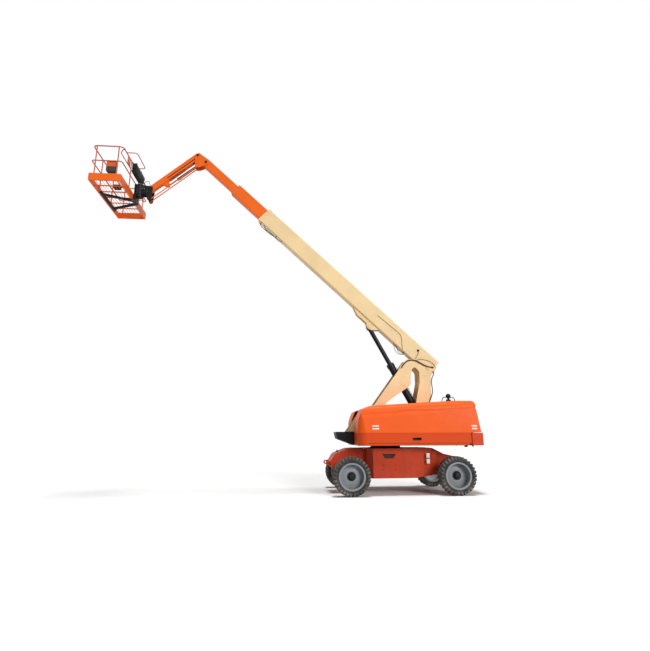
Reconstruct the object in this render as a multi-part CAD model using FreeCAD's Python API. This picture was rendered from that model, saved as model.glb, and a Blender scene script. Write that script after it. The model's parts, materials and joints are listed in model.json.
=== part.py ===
import FreeCAD, Part
import math
import os

# Telescopic boom lift with jib, standing with the boom part raised and part extended.
# Frame: origin on the ground at the middle of the machine's box, +X forward, +Y to the left, +Z up,
# millimetres. The layout below is drawn about the slewing axis, and each piece is saved moved back
# by MACHINE_MIDDLE.
V = FreeCAD.Vector

# ---- driving dimensions -------------------------------------------------------------------------
# wheels and axles
TYRE_DIAMETER = 934.0
TYRE_WIDTH = 355.0
RIM_DIAMETER = 655.0
BEAD_DIAMETER = 596.0
RIM_THICKNESS = 10.0
OVERALL_WIDTH = 2500.0
WHEELBASE = 2650.0
FRONT_AXLE_X = 1087.0
KINGPIN_INSET = 405.0            # kingpin to the tyre's outer face
AXLE_DEPTH = 150.0
HUB_RADIUS = 95.0
SPINDLE_RADIUS = 40.0
DIFFERENTIAL_RADIUS = 145.0
KINGPIN_RADIUS = 22.0
STEER_ARM = 170.0
STEER_ARM_BELOW = 50.0

# chassis
CHASSIS_TOP = 1120.0
CHASSIS_BOTTOM = 390.0
CHASSIS_END_BOTTOM = 622.0
CHASSIS_HALF_WIDTH = 800.0
CHASSIS_END_HALF_WIDTH = 430.0
CHASSIS_WALL = 20.0
CHASSIS_FRONT = 1560.0
CHASSIS_REAR = -1950.0
POCKET_BOLTS_X = 75.0
POCKET_BOLTS_Z = 654.0
BOLT_SPACING_X = 306.0
BOLT_SPACING_Z = 100.0
BOLT_HOLE_RADIUS = 11.0
LUG_THICKNESS = 25.0
LUG_HOLE_RADIUS = 26.0
LUG_REACH = 75.0                # chassis end to the lug's hole
LUG_SPLAY = 30.0                 # lugs splay outwards, in line with the lashings
LUG_Y = 330.0
LUG_Z = 742.0
LUG_ROOT = 60.0                  # lug's root inside the chassis end

# turntable
SLEW_RADIUS = 405.0
DECK_BOTTOM = 1190.0
DECK_THICKNESS = 40.0
DECK_FRONT = 860.0
DECK_REAR = -2032.0
COUNTERWEIGHT_TOP = 1505.0
TAIL_REACH = 2400.0              # slewing axis to the counterweight's rear face
TAIL_BOW = 7600.0                # radius of that face
TURNTABLE_HALF_WIDTH = 1100.0
BELT_HEIGHT = 1520.0
HOOD_WALL = 8.0
HOOD_STEP = 8.0                  # crease and lower band are set in by this
HOOD_LEAN = 65.0                 # how far the sides lean in from the belt to the roof
HOOD_SHOULDER = 200.0            # radius between side and roof
HOOD_ROOF_FRONT = 2205.0         # roof's height where its slope starts and ends
HOOD_ROOF_REAR = 2330.0
HOOD_ROOF_X = (440.0, -1650.0)
HANDLE_X = (-697.0, -494.0)
HANDLE_Z = (1331.0, 1377.0)
HANDLE_DEPTH = 30.0
BULKHEAD_THICKNESS = 12.0
HINGE_RADIUS = 9.0
HINGE_PIN_RADIUS = 5.0
HINGE_LENGTH = 60.0
HINGE_PLACES = (-1700.0, -1180.0, -660.0, -140.0, 240.0)
HOOD_OPENING = 45.0

# upright and boom
UPRIGHT_HALF_WIDTH = 250.0
UPRIGHT_PLATE = 25.0
PIN_CAP = 12.0                   # pin bosses stand out of the plates by this
VALLEY_CLEARANCE = 56.0          # upright's side to the bulkhead that carries the hoods
NOSE_OVERHANG = 50.0             # nose cover's side outside the upright
HOSE_RADIUS = 16.0
HOSE_ROUTE = [(-480, 3300), (-640, 3440), (-850, 3470), (-1060, 3400), (-1250, 3330), (-1400, 3320)]
SMALL_HOSE_RADIUS = 12.0
SMALL_HOSE_ROUTE = [(-1225, 2330), (-1300, 2440), (-1375, 2620), (-1350, 2840), (-1330, 3000), (-1395, 3190)]
BOOM_PIVOT = V(-1260, 0, 3290)
BOOM_ANGLE = 43.1
BOOM_PIN_RADIUS = 45.0
BOOM_AXIS_RISE = 141.0           # centre of the boom's section above its pivot
BASE_DEPTH = 469.0
BASE_WIDTH = 280.0
BASE_TAIL = 140.0
BASE_REACH = 6620.0
MID_DEPTH = 363.0
MID_WIDTH = 225.0
MID_START = 1700.0
MID_REACH = 7832.0
FLY_DEPTH = 254.0
FLY_WIDTH = 165.0
FLY_START = 3300.0
FLY_REACH = 9112.0               # pivot to the nose pin
BASE_WALL = 8.0
MID_WALL = 7.0
FLY_WALL = 6.0
PAD_LENGTH = 140.0
GUIDE_RADIUS = 10.0              # bent rod that holds the hoses up below the boom's mouth
GUIDE_ROUTE = [(5860, 0), (5860, 62), (6120, 95), (6400, 100), (6490, 62), (6490, 0)]

# lift cylinder
LIFT_FOOT = V(-1088, 0, 1800)
LIFT_EYE_ALONG = 1992.0          # eye's place in the boom's frame
LIFT_EYE_BELOW = 233.0
LIFT_ROD_RADIUS = 62.0
LIFT_BARREL_RADIUS = 98.0
LIFT_BARREL_LENGTH = 1840.0
LIFT_BORE_RADIUS = 82.0
LIFT_COLLAR_RADIUS = 110.0       # gland nut at the barrel's mouth
LIFT_COLLAR_LENGTH = 120.0
LIFT_PIN_RADIUS = 40.0
LIFT_PISTON_AT = 1100.0
LIFT_EYE_WALL = 10.0             # eye's outside beyond the rod's
LIFT_EYE_SHOULDER = 3.0          # eye wider than the rod, each side
LIFT_EAR_THICKNESS = 20.0

# nose bracket, jib and platform support
JIB_PIVOT_FROM_NOSE = V(258, 0, 221)
JIB_LENGTH = 1770.6
JIB_ANGLE = -41.8
JIB_DEPTH = 190.0
JIB_TIP_DEPTH = 165.0
JIB_WIDTH = 130.0
JIB_WALL = 6.0
LEVEL_ARM = 360.0
LEVEL_LINK_RADIUS = 15.0
BRACKET_SIDE_GAP = 25.0          # jib's side to the bracket plates
BRACKET_PLATE = 15.0
JIB_FOOT_FROM_PIVOT = V(-20, 0, -285)
JIB_EYE_ALONG = 1300.0
JIB_EYE_BELOW = 215.0
JIB_BARREL_RADIUS = 38.0
JIB_ROD_RADIUS = 20.0
JIB_BORE_RADIUS = 30.0
JIB_EYE_RADIUS = 28.0
JIB_EYE_SHOULDER = 2.0
JIB_EAR_THICKNESS = 12.0
JIB_FOOT_PIN_RADIUS = 16.0
JIB_BARREL_LENGTH = 785.0
JIB_PISTON_AT = 190.0
JIB_PIN_RADIUS = 28.0
JIB_HOSE_RADIUS = 14.0
JIB_HOSE_ENDS = (372.0, 1600.0)
JIB_BOSS_RADIUS = 55.0

# platform
ROTATOR_AHEAD = 325.0            # rotator's axis ahead of the jib's tip pin
PLATFORM_LENGTH = 2290.0         # across the machine
PLATFORM_WIDTH = 855.0
PLATFORM_SETBACK = 150.0         # rotator's axis to the platform's rear edge
FLOOR_BELOW_TIP = 371.0          # floor under the jib's tip pin
RAIL_HEIGHT = 1050.0
MID_RAIL_HEIGHT = 575.0
TOE_HEIGHT = 170.0
RAIL_RADIUS = 17.0
POST_RADIUS = 16.0
RAIL_INSET = 21.0                # rail's centre from the platform's edge
POST_INSET = 110.0
RAIL_CORNER = 120.0
FLOOR_DEPTH = 40.0
GRATING_PROUD = 2.0              # grille bars above the frame that carries the posts
ENTRY_BAR_ABOVE = 56.0           # entry bar's rest above the mid rail
ENTRY_BAR_RADIUS = 14.0
CONSOLE_LEFT = 400.0
CONSOLE_RIGHT = -350.0
CONSOLE_DEPTH = 140.0
CONSOLE_BELOW_TOP = 52.0         # console's top below the top rail's top
GUARD_RADIUS = 13.0
GUARD_OUT = 290.0                # outer guard hoop's reach behind the rear rail
GUARD_OUT_Y = (60.0, 850.0)
GUARD_IN = 165.0                 # inner hand rail's distance ahead of the rear rail
GUARD_IN_Y = (-905.0, 985.0)
TOOL_BOX_FROM_REAR = 180.0
TOOL_BOX_LENGTH = 250.0
TOOL_BOX_DEPTH = 150.0
TOOL_BOX_HEIGHT = 300.0

# clearances
FIT_GAP = 0.3
SIDE_CLEARANCE = 6.0
PLAY = 5.0
SLIDE_GAP = 0.5

# ---- derived places -----------------------------------------------------------------------------
WHEEL_Z = TYRE_DIAMETER / 2
WHEEL_Y = (OVERALL_WIDTH - TYRE_WIDTH) / 2
REAR_AXLE_X = FRONT_AXLE_X - WHEELBASE
KINGPIN_Y = OVERALL_WIDTH / 2 - KINGPIN_INSET
DECK_TOP = DECK_BOTTOM + DECK_THICKNESS
BULKHEAD_Y = UPRIGHT_HALF_WIDTH + VALLEY_CLEARANCE + BULKHEAD_THICKNESS
HINGE_Y = BULKHEAD_Y + HINGE_RADIUS + 2
HOOD_INNER_Y = HINGE_Y + HINGE_RADIUS + 2
HOOD_SLOPE = (HOOD_ROOF_REAR - HOOD_ROOF_FRONT) / (HOOD_ROOF_X[0] - HOOD_ROOF_X[1])
HOSE_Y = UPRIGHT_HALF_WIDTH + PIN_CAP + HOSE_RADIUS + FIT_GAP
LIFT_EYE_RADIUS = LIFT_ROD_RADIUS + LIFT_EYE_WALL
LIFT_EYE_HALF_WIDTH = LIFT_ROD_RADIUS + LIFT_EYE_SHOULDER
JIB_EYE_HALF_WIDTH = JIB_ROD_RADIUS + JIB_EYE_SHOULDER
LEVEL_LINK_Y = JIB_WIDTH / 2
BRACKET_Y = JIB_WIDTH / 2 + BRACKET_SIDE_GAP


def turned(point, angle):
    """A point of the XZ plane turned nose-up by an angle in degrees."""
    c, s = math.cos(math.radians(angle)), math.sin(math.radians(angle))
    return V(point.x * c - point.z * s, point.y, point.x * s + point.z * c)


def on_boom(along, above=0.0):
    return BOOM_PIVOT + turned(V(along, 0, above), BOOM_ANGLE)


LIFT_EYE = on_boom(LIFT_EYE_ALONG, -LIFT_EYE_BELOW)
NOSE_PIN = on_boom(FLY_REACH, BOOM_AXIS_RISE)
JIB_PIVOT = NOSE_PIN + JIB_PIVOT_FROM_NOSE
JIB_TIP = JIB_PIVOT + turned(V(JIB_LENGTH, 0, 0), JIB_ANGLE)
JIB_FOOT = JIB_PIVOT + JIB_FOOT_FROM_PIVOT
JIB_EYE = JIB_PIVOT + turned(V(JIB_EYE_ALONG, 0, -JIB_EYE_BELOW), JIB_ANGLE)
LEVEL_TOP = JIB_PIVOT - V(0, 0, LEVEL_ARM)
LEVEL_BOTTOM = JIB_TIP - V(0, 0, LEVEL_ARM)
ROTATOR = JIB_TIP + V(ROTATOR_AHEAD, 0, 0)
FLOOR_Z = JIB_TIP.z - FLOOR_BELOW_TIP
PLATFORM_REAR = ROTATOR.x + PLATFORM_SETBACK
PLATFORM_FRONT = PLATFORM_REAR + PLATFORM_WIDTH
MACHINE_MIDDLE = V((PLATFORM_FRONT - TAIL_REACH) / 2, 0, 0)


# ---- shape helpers ------------------------------------------------------------------------------
def rounded_path(points, closed):
    """Edges through corner points (vector, radius), each corner with a radius turned by an arc."""
    count = len(points)
    starts, ends, arcs = [], [], []
    for i, (corner, radius) in enumerate(points):
        if radius <= 0 or (not closed and i in (0, count - 1)):
            starts.append(corner)
            ends.append(corner)
            arcs.append(None)
            continue
        before = (points[i - 1][0] - corner).normalize()
        after = (points[(i + 1) % count][0] - corner).normalize()
        half = before.getAngle(after) / 2
        reach = radius / math.tan(half)
        middle = (before + after).normalize() * (radius / math.sin(half) - radius)
        starts.append(corner + before * reach)
        ends.append(corner + after * reach)
        arcs.append(corner + middle)
    edges = []
    for i in range(count):
        if arcs[i] is not None:
            edges.append(Part.Arc(starts[i], arcs[i], ends[i]).toShape())
        if i < count - 1 or closed:
            following = starts[(i + 1) % count]
            if (following - ends[i]).Length > 1e-6:
                edges.append(Part.LineSegment(ends[i], following).toShape())
    return Part.Wire(edges)


def prism(points, plane, start, end):
    """Outline of (a, b) or (a, b, radius) corners in plane XZ, XY or YZ, extruded from start to end."""
    put = {
        "XZ": lambda a, b: V(a, start, b),
        "XY": lambda a, b: V(a, b, start),
        "YZ": lambda a, b: V(start, a, b),
    }[plane]
    way = {"XZ": V(0, 1, 0), "XY": V(0, 0, 1), "YZ": V(1, 0, 0)}[plane]
    corners = [(put(p[0], p[1]), p[2] if len(p) > 2 else 0.0) for p in points]
    return Part.Face(rounded_path(corners, True)).extrude(way * (end - start))


def box(x0, x1, y0, y1, z0, z1):
    return Part.makeBox(x1 - x0, y1 - y0, z1 - z0, V(x0, y0, z0))


def bar(start, end, radius):
    return Part.makeCylinder(radius, (end - start).Length, start, end - start)


def across(centre, radius, y0, y1):
    """Round bar along Y through a centre."""
    return bar(V(centre.x, y0, centre.z), V(centre.x, y1, centre.z), radius)


def both_sides(shape):
    return [shape, shape.mirror(V(0, 0, 0), V(0, 1, 0))]


def fused(shapes):
    return shapes[0].multiFuse(list(shapes[1:])).removeSplitter()


def raised(shape, pivot, angle):
    """Moves a shape from a frame along +X into the machine, its origin on the pivot, nose up by angle."""
    moved = shape.copy()
    moved.rotate(V(0, 0, 0), V(0, 1, 0), -angle)
    moved.translate(pivot)
    return moved


def revolved_about_y(points, centre):
    """Section of (y, radius) corners revolved about the Y axis through a centre."""
    corners = [(V(p[1], p[0], 0), p[2] if len(p) > 2 else 0.0) for p in points]
    section = Part.Face(rounded_path(corners, True))
    solid = section.revolve(V(0, 0, 0), V(0, 1, 0), 360)
    solid.translate(centre)
    return solid


def swept_tube(points, radius, closed=False):
    """Round tube along a path of (vector, bend radius) corners."""
    path = rounded_path(points, closed)
    first = path.OrderedEdges[0]
    start = first.valueAt(first.FirstParameter)
    circle = Part.makeCircle(radius, start, first.tangentAt(first.FirstParameter))
    return path.makePipeShell([Part.Wire([circle])], True, False)


def box_beam(x0, x1, width, depth, rise, wall, corner):
    """Hollow rounded box section along +X, its centre raised by rise."""
    def section(inset):
        y, z = width / 2 - inset, depth / 2 - inset
        r = max(corner - inset, 2.0)
        return [(-y, rise - z, r), (y, rise - z, r), (y, rise + z, r), (-y, rise + z, r)]
    outer = prism(section(0), "YZ", x0, x1)
    return outer, lambda a, b: prism(section(wall), "YZ", a, b)


def save(name, shape):
    placed = shape.copy()
    placed.translate(-MACHINE_MIDDLE)
    placed.exportStep(f"parts/{name}.step")


# ---- wheels and axles ---------------------------------------------------------------------------
def make_tyre(centre):
    half, radius = TYRE_WIDTH / 2, TYRE_DIAMETER / 2
    bead = BEAD_DIAMETER / 2
    section = [
        (-150, bead), (-150, bead + 32), (-half, bead + 70, 30), (-half, radius - 40, 25),
        (-half + 22, radius, 14), (half - 22, radius, 14), (half, radius - 40, 25),
        (half, bead + 70, 30), (150, bead + 32), (150, bead),
    ]
    return revolved_about_y(section, centre)


def make_rim(centre, side):
    """Deep dished rim: barrel, two flanges and a coned disc with a centre hole."""
    bead, flange = BEAD_DIAMETER / 2, RIM_DIAMETER / 2
    t = RIM_THICKNESS
    section = [
        (-162, flange), (-152, flange), (-152, bead), (152, bead), (152, flange), (162, flange),
        (162, bead - t), (-35, bead - t), (-5, HUB_RADIUS + 60), (-5, HUB_RADIUS - 30),
        (-5 - t, HUB_RADIUS - 30), (-5 - t, HUB_RADIUS + 55), (-35 - t, bead - t), (-162, bead - t),
    ]
    return revolved_about_y([(side * p[0], p[1]) for p in section], centre)


def make_hub(centre, side):
    """Drive hub bolted to the inner face of the rim's disc, with a blind bore for the spindle."""
    bore = SPINDLE_RADIUS + FIT_GAP
    inner_face = -5 - RIM_THICKNESS
    section = [
        (-90, bore), (-90, HUB_RADIUS), (inner_face, HUB_RADIUS, 0), (inner_face, HUB_RADIUS - 30.5),
        (62, HUB_RADIUS - 30.5, 10), (70, 30, 8), (70, 0), (45, 0), (45, bore),
    ]
    return revolved_about_y([(side * p[0], p[1]) + tuple(p[2:]) for p in section], centre)


def spindle(x, side, start_y):
    end_y = WHEEL_Y + 35
    return bar(V(x, side * start_y, WHEEL_Z), V(x, side * end_y, WHEEL_Z), SPINDLE_RADIUS)


def make_front_axle():
    """Oscillating beam with a C-shaped yoke and kingpin at each end, hung from a central trunnion."""
    half = AXLE_DEPTH / 2
    x, z = FRONT_AXLE_X, WHEEL_Z
    beam = prism([(-640, z - half, 30), (640, z - half, 30), (640, z + half, 30), (-640, z + half, 30)],
                 "YZ", x - 70, x + 70)
    pieces = [beam, box(x - 110, x + 110, -120, 120, z + half - 10, CHASSIS_END_BOTTOM)]
    for side in (-1, 1):
        yoke = prism([(side * 620, z - half), (side * 700, z - 135), (side * KINGPIN_Y, z - 135),
                      (side * KINGPIN_Y, z - 92), (side * 745, z - 92, 20), (side * 745, z + 92, 20),
                      (side * KINGPIN_Y, z + 92), (side * KINGPIN_Y, z + 135), (side * 700, z + 135),
                      (side * 620, z + half)], "YZ", x - 48, x + 48)
        pieces.append(yoke)
        for low in (z - 135, z + 92):
            pieces.append(Part.makeCylinder(48, 43, V(x, side * KINGPIN_Y, low)))
        pieces.append(Part.makeCylinder(KINGPIN_RADIUS, 290, V(x, side * KINGPIN_Y, z - 145)))
    return fused(pieces)


def make_rear_axle():
    x, z = REAR_AXLE_X, WHEEL_Z
    pieces = [bar(V(x, -WHEEL_Y + 100, z), V(x, WHEEL_Y - 100, z), AXLE_DEPTH / 2)]
    pieces.append(Part.makeSphere(DIFFERENTIAL_RADIUS, V(x, 60, z)))
    for side in (-1, 1):
        pieces.append(spindle(x, side, 900))
        low, high = sorted((side * 300, side * 400))
        pieces.append(box(x - 90, x + 90, low, high, z, CHASSIS_END_BOTTOM))
    return fused(pieces)


def make_knuckle(side):
    """Steering knuckle: barrel on the kingpin, spindle out to the hub and steering arm back."""
    x, z = FRONT_AXLE_X, WHEEL_Z
    half = 92 - PLAY
    barrel = Part.makeCylinder(52, 2 * half, V(x, side * KINGPIN_Y, z - half))
    neck = Part.makeCone(70, 52, WHEEL_Y - 95 - KINGPIN_Y, V(x, side * KINGPIN_Y, z), V(0, side, 0))
    arm_end = (x - STEER_ARM, side * (KINGPIN_Y - 40))
    arm = prism([(x + 10, side * (KINGPIN_Y + 35)), (x + 10, side * (KINGPIN_Y - 35)),
                 (arm_end[0] - 32, arm_end[1] - side * 32, 28),
                 (arm_end[0] - 32, arm_end[1] + side * 32, 28)],
                "XY", z - STEER_ARM_BELOW, z - STEER_ARM_BELOW + 25)
    solid = fused([barrel, neck, spindle(x, side, KINGPIN_Y), arm])
    bore = Part.makeCylinder(KINGPIN_RADIUS + FIT_GAP, 300, V(x, side * KINGPIN_Y, z - 150))
    return solid.cut(bore)


def make_tie_rod():
    """Rod behind the front axle, its two eyes just under the steering arms."""
    x, top = FRONT_AXLE_X - STEER_ARM, WHEEL_Z - STEER_ARM_BELOW - FIT_GAP
    reach = KINGPIN_Y - 40
    pieces = [bar(V(x, -reach, top - 20), V(x, reach, top - 20), 18)]
    for side in (-1, 1):
        pieces.append(Part.makeCylinder(30, 40, V(x, side * reach, top - 40)))
    return fused(pieces)


# ---- chassis ------------------------------------------------------------------------------------
def chassis_body(inset):
    """Closed box body: side profile crossed with the plan, both drawn in by the inset."""
    top, low, end_low = CHASSIS_TOP - inset, CHASSIS_BOTTOM + inset, CHASSIS_END_BOTTOM + inset
    wide, narrow = CHASSIS_HALF_WIDTH - inset, CHASSIS_END_HALF_WIDTH - inset
    front, rear = CHASSIS_FRONT - inset, CHASSIS_REAR + inset
    profile = [
        (rear, end_low, 30), (rear, 860, 40), (-1450, 975 - inset), (-1150, top),
        (1080, top, 250), (front - 130, 985, 120), (front, 780, 60), (front - 60, end_low, 30),
        (640 - inset, end_low), (590 - inset, low, 20), (-620, low, 60), (-1075 + inset, low + 60, 60),
        (-1090 + inset, end_low),
    ]
    plan = [
        (1600, -narrow), (1600, narrow), (650 - inset, narrow), (620 - inset, 600 - inset),
        (490 - inset, wide), (-350, wide), (-1080 + inset, wide - 110, 60), (-1110 + inset, narrow),
        (-2000, narrow), (-2000, -narrow), (-1110 + inset, -narrow), (-1080 + inset, -wide + 110, 60),
        (-350, -wide), (490 - inset, -wide), (620 - inset, -600 + inset), (650 - inset, -narrow),
    ]
    return prism(profile, "XZ", -1000, 1000).common(prism(plan, "XY", 300, 1200))


def make_chassis():
    """Welded box body with side pockets, hole pairs and a tie-down lug at each corner."""
    body = chassis_body(0).cut(chassis_body(CHASSIS_WALL))
    cuts = []
    for side in (-1, 1):
        y0, y1 = sorted((side * (CHASSIS_HALF_WIDTH - 45), side * (CHASSIS_HALF_WIDTH + 10)))
        cuts.append(prism([(-106, 985), (257, 985), (183, 873), (-24, 873)], "XZ", y0, y1))
        for x in (POCKET_BOLTS_X - BOLT_SPACING_X / 2, POCKET_BOLTS_X + BOLT_SPACING_X / 2):
            for z in (POCKET_BOLTS_Z - BOLT_SPACING_Z / 2, POCKET_BOLTS_Z + BOLT_SPACING_Z / 2):
                cuts.append(across(V(x, 0, z), BOLT_HOLE_RADIUS, y0, y1))
    pocket_backs = []
    for side in (-1, 1):
        y0, y1 = sorted((side * (CHASSIS_HALF_WIDTH - 60), side * (CHASSIS_HALF_WIDTH - 1)))
        pocket_backs.append(prism([(-140, 1020), (291, 1020), (217, 838), (-58, 838)], "XZ", y0, y1))
        for x in (POCKET_BOLTS_X - BOLT_SPACING_X / 2, POCKET_BOLTS_X + BOLT_SPACING_X / 2):
            for z in (POCKET_BOLTS_Z - BOLT_SPACING_Z / 2, POCKET_BOLTS_Z + BOLT_SPACING_Z / 2):
                pocket_backs.append(across(V(x, 0, z), BOLT_HOLE_RADIUS + 20, y0, y1))
    lugs = []
    for end, way in ((CHASSIS_FRONT, 1), (CHASSIS_REAR, -1)):
        for side in (-1, 1):
            lug, hole = tie_down_lug()
            for shape, group in ((lug, lugs), (hole, cuts)):
                shape.rotate(V(0, 0, 0), V(0, 0, 1), way * side * LUG_SPLAY + (0 if way > 0 else 180))
                shape.translate(V(end - way * LUG_ROOT, side * LUG_Y, LUG_Z))
                group.append(shape)
    return fused([body] + pocket_backs + lugs).cut(Part.makeCompound(cuts))


def tie_down_lug():
    """Lashing lug along +X from its root, with the pin that cuts its hole."""
    reach = LUG_ROOT + LUG_REACH
    half = LUG_THICKNESS / 2
    lug = prism([(0, -55), (0, 65), (reach + 50, 48, 45), (reach + 50, -48, 45)], "XZ", -half, half)
    return lug, across(V(reach, 0, 0), LUG_HOLE_RADIUS, -half - 5, half + 5)


def make_slew_ring():
    outer = Part.makeCylinder(SLEW_RADIUS, DECK_BOTTOM - CHASSIS_TOP - FIT_GAP, V(0, 0, CHASSIS_TOP))
    return outer.cut(Part.makeCylinder(SLEW_RADIUS - 90, 200, V(0, 0, CHASSIS_TOP - 50)))


# ---- turntable ----------------------------------------------------------------------------------
def hinge_height(x):
    """Height of the hood's inner roof edge, which falls towards the front."""
    return HOOD_ROOF_FRONT + (HOOD_ROOF_X[0] - x) * HOOD_SLOPE


def make_turntable_deck():
    """Deck plate with the slewing boss below and two long bulkheads that carry the hoods."""
    half = TURNTABLE_HALF_WIDTH - 40
    plan = [(DECK_FRONT, -half + 60, 60), (DECK_FRONT, half - 60, 60), (DECK_REAR, half, 20),
            (DECK_REAR, -half, 20)]
    pieces = [prism(plan, "XY", DECK_BOTTOM, DECK_TOP)]
    x0, x1 = -1960.0, 330.0
    wall = [(x0, DECK_TOP), (x1, DECK_TOP), (x1, hinge_height(x1) - 40), (x0, hinge_height(x0) - 40)]
    pieces += both_sides(prism(wall, "XZ", BULKHEAD_Y - BULKHEAD_THICKNESS, BULKHEAD_Y))
    for side in (-1, 1):
        for x in HINGE_PLACES:
            pieces.append(hinge_pin(x, side))
            pieces.append(hinge_barrel(x - HINGE_LENGTH / 2 + 2, side))
            arm = box(x - HINGE_LENGTH / 2 + 2, x + HINGE_LENGTH / 2 - 2, BULKHEAD_Y - 1, HINGE_Y, -50, 0)
            pieces.append(on_hinge_line(arm, side))
    deck = fused(pieces)
    boss = Part.makeCylinder(SLEW_RADIUS - 100, 60, V(0, 0, DECK_BOTTOM - 60))
    return deck.fuse(boss).removeSplitter()


def make_counterweight():
    """Cast tail weight with a bowed rear face and rounded corners, and a hump between the hoods."""
    y = TURNTABLE_HALF_WIDTH - 5
    tail = Part.makeCylinder(TAIL_BOW, 1000, V(TAIL_BOW - TAIL_REACH, 0, DECK_BOTTOM - 100))
    plan = [(DECK_REAR, -y), (DECK_REAR, y), (-TAIL_REACH - 20, y, 45), (-TAIL_REACH - 20, -y, 45)]
    slab = prism(plan, "XY", DECK_BOTTOM, COUNTERWEIGHT_TOP)
    hump = prism([(-290, COUNTERWEIGHT_TOP - 20), (290, COUNTERWEIGHT_TOP - 20), (270, 1900, 70),
                  (-270, 1900, 70)], "YZ", -TAIL_REACH - 20, DECK_REAR)
    return fused([slab, hump]).common(tail)


def make_turntable_nose():
    """Black wedge-shaped cover round the feet of the upright's front leg, open behind and below."""
    def shell(inset, rear):
        return [(rear, 1213 + inset), (rear, 1545 - inset), (1395 - inset, 1545 - inset, 18),
                (1345 - inset, 1365 + inset, 25), (960, 1222 + inset)]
    half, wall = UPRIGHT_HALF_WIDTH + NOSE_OVERHANG, 10.0
    outer = prism(shell(0, DECK_FRONT), "XZ", -half, half)
    inner = prism(shell(wall, DECK_FRONT - 20), "XZ", -half + wall, half - wall)
    return outer.cut(inner)


def hood_form(side, inset, opening):
    """Closed form of a hood, drawn in by an inset and pushed out by an opening at its open faces."""
    t = inset
    tail_x = DECK_REAR + 12
    sill, inner_y, outer_y = DECK_BOTTOM + 5 - opening, HOOD_INNER_Y - opening, TURNTABLE_HALF_WIDTH - t
    roof_front, roof_rear = HOOD_ROOF_X
    profile = [
        (905 - t, sill), (900 - t, BELT_HEIGHT), (880 - t, 1830, 150), (770 - t, 2120 - t, 90),
        (roof_front, HOOD_ROOF_FRONT - t, 250), (roof_rear, HOOD_ROOF_REAR - t, 600),
        (-2160 + t, HOOD_ROOF_REAR - 8 - t, 70), (-2200 + t, 2225 - t, 30), (-2205 + t, 2110, 60),
        (-2280 + t, BELT_HEIGHT - t), (tail_x + t, BELT_HEIGHT - t), (tail_x + t, sill),
    ]
    section = [
        (side * inner_y, 1100), (side * outer_y, 1100), (side * outer_y, BELT_HEIGHT, 60),
        (side * (outer_y - HOOD_LEAN), 2420), (side * inner_y, 2420),
    ]
    plan = [(-2500, side * inner_y), (-2500, side * outer_y), (905 - t, side * outer_y, 240 - t),
            (905 - t, side * inner_y)]
    y0, y1 = sorted((side * inner_y, side * (TURNTABLE_HALF_WIDTH + 50)))
    form = prism(profile, "XZ", y0, y1).common(prism(section, "YZ", -2500, 1200))
    return form.common(prism(plan, "XY", 1100, 2500)).common(hood_shoulder(side, t, inner_y))


def hood_shoulder(side, inset, inner_y):
    """Long form under the sloping roof that rounds the edge between the roof and the side."""
    outer_y = TURNTABLE_HALF_WIDTH - HOOD_LEAN * 0.75 - inset
    top = hinge_height(0) - inset
    far = TURNTABLE_HALF_WIDTH + 200
    section = [
        (side * inner_y, 0), (side * far, 0), (side * far, top - 500), (side * outer_y, top - 400, 300),
        (side * outer_y, top, HOOD_SHOULDER - inset), (side * inner_y, top),
    ]
    form = prism(section, "YZ", -3000, 1500)
    form.rotate(V(0, 0, hinge_height(0)), V(0, 1, 0), math.degrees(math.atan(HOOD_SLOPE)))
    return form


def hood_body(side, inset, opening):
    """Hood form with its swept crease and its lower band set in by the panel step."""
    y0, y1 = sorted((0, side * (TURNTABLE_HALF_WIDTH + 100)))
    grow = inset
    crease = [
        (20 + grow, 1940 - grow), (-180, 2040 - grow, 90), (-520, 2048 - grow, 200),
        (-1578, 2022 - grow, 400), (-2300, 2110 - grow), (-2300, 2175 + grow), (-1578, 2072 + grow, 400), (-540, 2098 + grow, 200),
        (-170, 2085 + grow, 60),
    ]
    band_top = BELT_HEIGHT - 14 + grow
    band = box(-2400, 1000, y0, y1, 1100, band_top)
    cut = Part.makeCompound([prism(crease, "XZ", y0, y1), band])
    return hood_form(side, inset, opening).cut(cut).fuse(hood_form(side, inset + HOOD_STEP, opening))


def hood_handle(side, depth, grow):
    """Slot of the pull handle, reaching in from the hood's side by a depth."""
    outer = TURNTABLE_HALF_WIDTH + 10
    y0, y1 = sorted((side * (TURNTABLE_HALF_WIDTH - HOOD_STEP - depth), side * outer))
    (x0, x1), (z0, z1) = HANDLE_X, HANDLE_Z
    return prism([(x0 - grow, z0 - grow, 12 + grow), (x1 + grow, z0 - grow, 12 + grow),
                  (x1 + grow, z1 + grow, 12 + grow), (x0 - grow, z1 + grow, 12 + grow)], "XZ", y0, y1)


def make_hood(side):
    """Swing-up side cover, one curved shell open below and towards the boom's valley."""
    shell = hood_body(side, 0, 0).cut(hood_body(side, HOOD_WALL, HOOD_WALL))
    wide = TURNTABLE_HALF_WIDTH
    notch = box(DECK_REAR - 50, DECK_REAR + 80, -wide, wide, 1100, DECK_TOP + PLAY)
    cup = hood_handle(side, HANDLE_DEPTH, 5).common(hood_body(side, 0, 0))
    shell = shell.cut(notch).fuse(cup).cut(hood_handle(side, HANDLE_DEPTH - 5, 0))
    knuckles = []
    for x in HINGE_PLACES:
        knuckles.append(hinge_barrel(x + HINGE_LENGTH / 2 + 2, side).cut(hinge_pin(x, side, FIT_GAP)))
        leaf_start, leaf_end = x + 12 + HINGE_LENGTH / 2, x + HINGE_LENGTH * 1.5 - 8
        leaf = box(leaf_start, leaf_end, HINGE_Y, HINGE_Y + 45, 1, HINGE_RADIUS)
        knuckles.append(on_hinge_line(leaf, side).cut(hinge_pin(x, side, FIT_GAP)))
    return fused([shell] + knuckles)


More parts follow.
